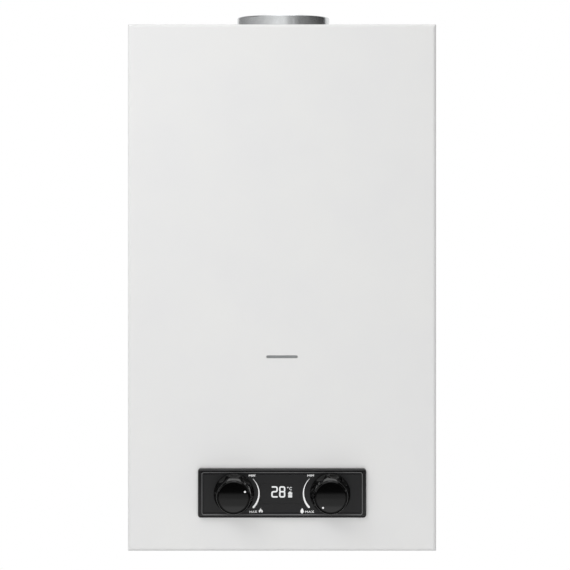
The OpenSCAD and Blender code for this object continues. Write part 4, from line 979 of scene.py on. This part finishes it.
lamps = [soft_box("camera soft box", (0, cover_front - 2.3, -0.3), (0, cover_front, 0), 1.6, 23.6),
         soft_box("high soft box", (-0.6, cover_front - 2.1, 0.9), (0, cover_front, 0), 1.2, 9.5),
         soft_box("front soft box", (-0.7, -1.2, 1.0), (0, cover_front, 0), 0.8, 3.8),
         soft_box("left soft box", (-0.55, cover_front - 0.45, 0.45), (0, cover_front, 0.1), 0.4, 0.6),
         soft_box("left back soft box", (-1.6, 0.5, -0.3), (0, 0, 0.3), 1.0, 9.0),
         soft_box("right back soft box", (1.6, 0.5, -0.3), (0, 0, 0.3), 1.0, 7.0)]
for lamp in lamps:
    lamp.visible_glossy = False
# The only lamp that reflections see: it stands above and draws the light line on the upper edges.
soft_box("rim soft box", (0, 0.1, 1.7), (0, -0.15, 0), 0.6, 8)
print("lamps:", len(bpy.data.lights))


# %% [markdown]
# ## What the reflections see
# Black plastic and bright metal show what stands around them. A picture of a room could be put on the
# world, but a few evenly lit grey cards that only reflections see are simpler, and each has one task. One
# in front gives the knobs' faces their dark upper halves, those at the sides shade the fascia's rim, and a
# curved row gives the collar its light and dark bands. This row has a window a little left of the lens.
# Away from it the wall's light falls exponentially, by the factor e in 102 degrees on the left and in 40
# degrees on the right, where the room was darker.

# %% Reflection cards
def reflection_card(name, corners, colour):
    """A flat, evenly lit card of a linear colour that only reflections see."""
    material, _, shader = new_material(name + " card", Roughness=1.0, Emission_Strength=1.0)
    shader.inputs["Base Color"].default_value = linear("#000000")
    shader.inputs["Emission Color"].default_value = colour
    mesh = bpy.data.meshes.new(name)
    mesh.from_pydata(corners, [], [[0, 1, 2, 3]])
    mesh.materials.append(material)
    card = bpy.data.objects.new(name, mesh)
    scene.collection.objects.link(card)
    card.visible_camera = card.visible_diffuse = card.visible_shadow = card.visible_transmission = False


def upright(x0, y0, x1, y1, low, high):
    """Corners of an upright card between two floor points."""
    return [(x0, y0, low), (x1, y1, low), (x1, y1, high), (x0, y0, high)]


FRONT_Y = -1.2
FRONT_HALF = 2.2
DARK_EDGE = -0.388
for name, low, high, grey in (("front_card", DARK_EDGE, 0.10, "#020202"),
                              ("low_card_a", -0.396, DARK_EDGE, "#a4a4a4"),
                              ("low_card_b", -0.408, -0.396, "#c8c8c8")):
    corners = upright(-FRONT_HALF, FRONT_Y, FRONT_HALF, FRONT_Y, low, high)
    reflection_card(name, corners, linear(grey))
SIDE_CARDS = [("_low_card", -0.9, 0.9, -1.0, -0.45, "#080808"),
              ("_middle_card", -0.9, 0.9, -0.45, 0.0, "#6a6a6a"),
              ("_upper_card", -0.6, 0.3, 0.6, 1.3, "#101010")]
for side, name in ((1.0, "right"), (-1.0, "left")):
    for place, near, far, low, high, grey in SIDE_CARDS:
        reflection_card(name + place, upright(side, near, side, far, low, high), linear(grey))
under_corners = [(-1, -0.9, -1.0), (1, -0.9, -1.0), (1, 0.6, -1.0), (-1, 0.6, -1.0)]
reflection_card("under_card", under_corners, linear("#101010"))
WALL_RADIUS = 1.1
WINDOW_DEG = -9
CARD_DEG = 12
CARDS_PER_SIDE = 10
for name, side, window_half, fall in (("right_wall_", 1, 17, 40), ("left_wall_", -1, 16, 102)):
    for i in range(CARDS_PER_SIDE):
        off = window_half + i * CARD_DEG
        glow = math.exp(-(off + CARD_DEG / 2) / fall)
        ends = np.radians(WINDOW_DEG + side * np.array([off, off + CARD_DEG]))
        (x0, x1), (y0, y1) = WALL_RADIUS * np.sin(ends), flue_axis[1] - WALL_RADIUS * np.cos(ends)
        reflection_card(name + str(i), upright(x0, y0, x1, y1, 0.1, 1.2), (glow, glow, glow, 1))
print("cards in the collar's wall:", 2 * CARDS_PER_SIDE)

# %% [markdown]
# ## The floor
# A plain pale floor lies below the picture's lower edge. It shows in views from other sides, where it gives
# the eye a level to go by. One square is enough, because nothing stands on it.

# %% Floor
FLOOR_Z = -1.1
FLOOR_HALF = 1.8
floor_material, floor_tree, floor_shader = new_material("pale floor, matt paint", Roughness=0.9)
clouded(floor_tree, floor_shader, "#e8e8e8", "#ececec", 60)
floor_mesh = bpy.data.meshes.new("floor")
floor_corners = [(x * FLOOR_HALF, y * FLOOR_HALF, FLOOR_Z) for x, y in ((-1, -1), (1, -1), (1, 1), (-1, 1))]
floor_mesh.from_pydata(floor_corners, [], [[0, 1, 2, 3]])
floor_mesh.materials.append(floor_material)
floor = bpy.data.objects.new("floor", floor_mesh)
scene.collection.objects.link(floor)
print("floor at", FLOOR_Z)

# %% [markdown] ## The end The dressed pieces take their sizes from the boxes of the solids.
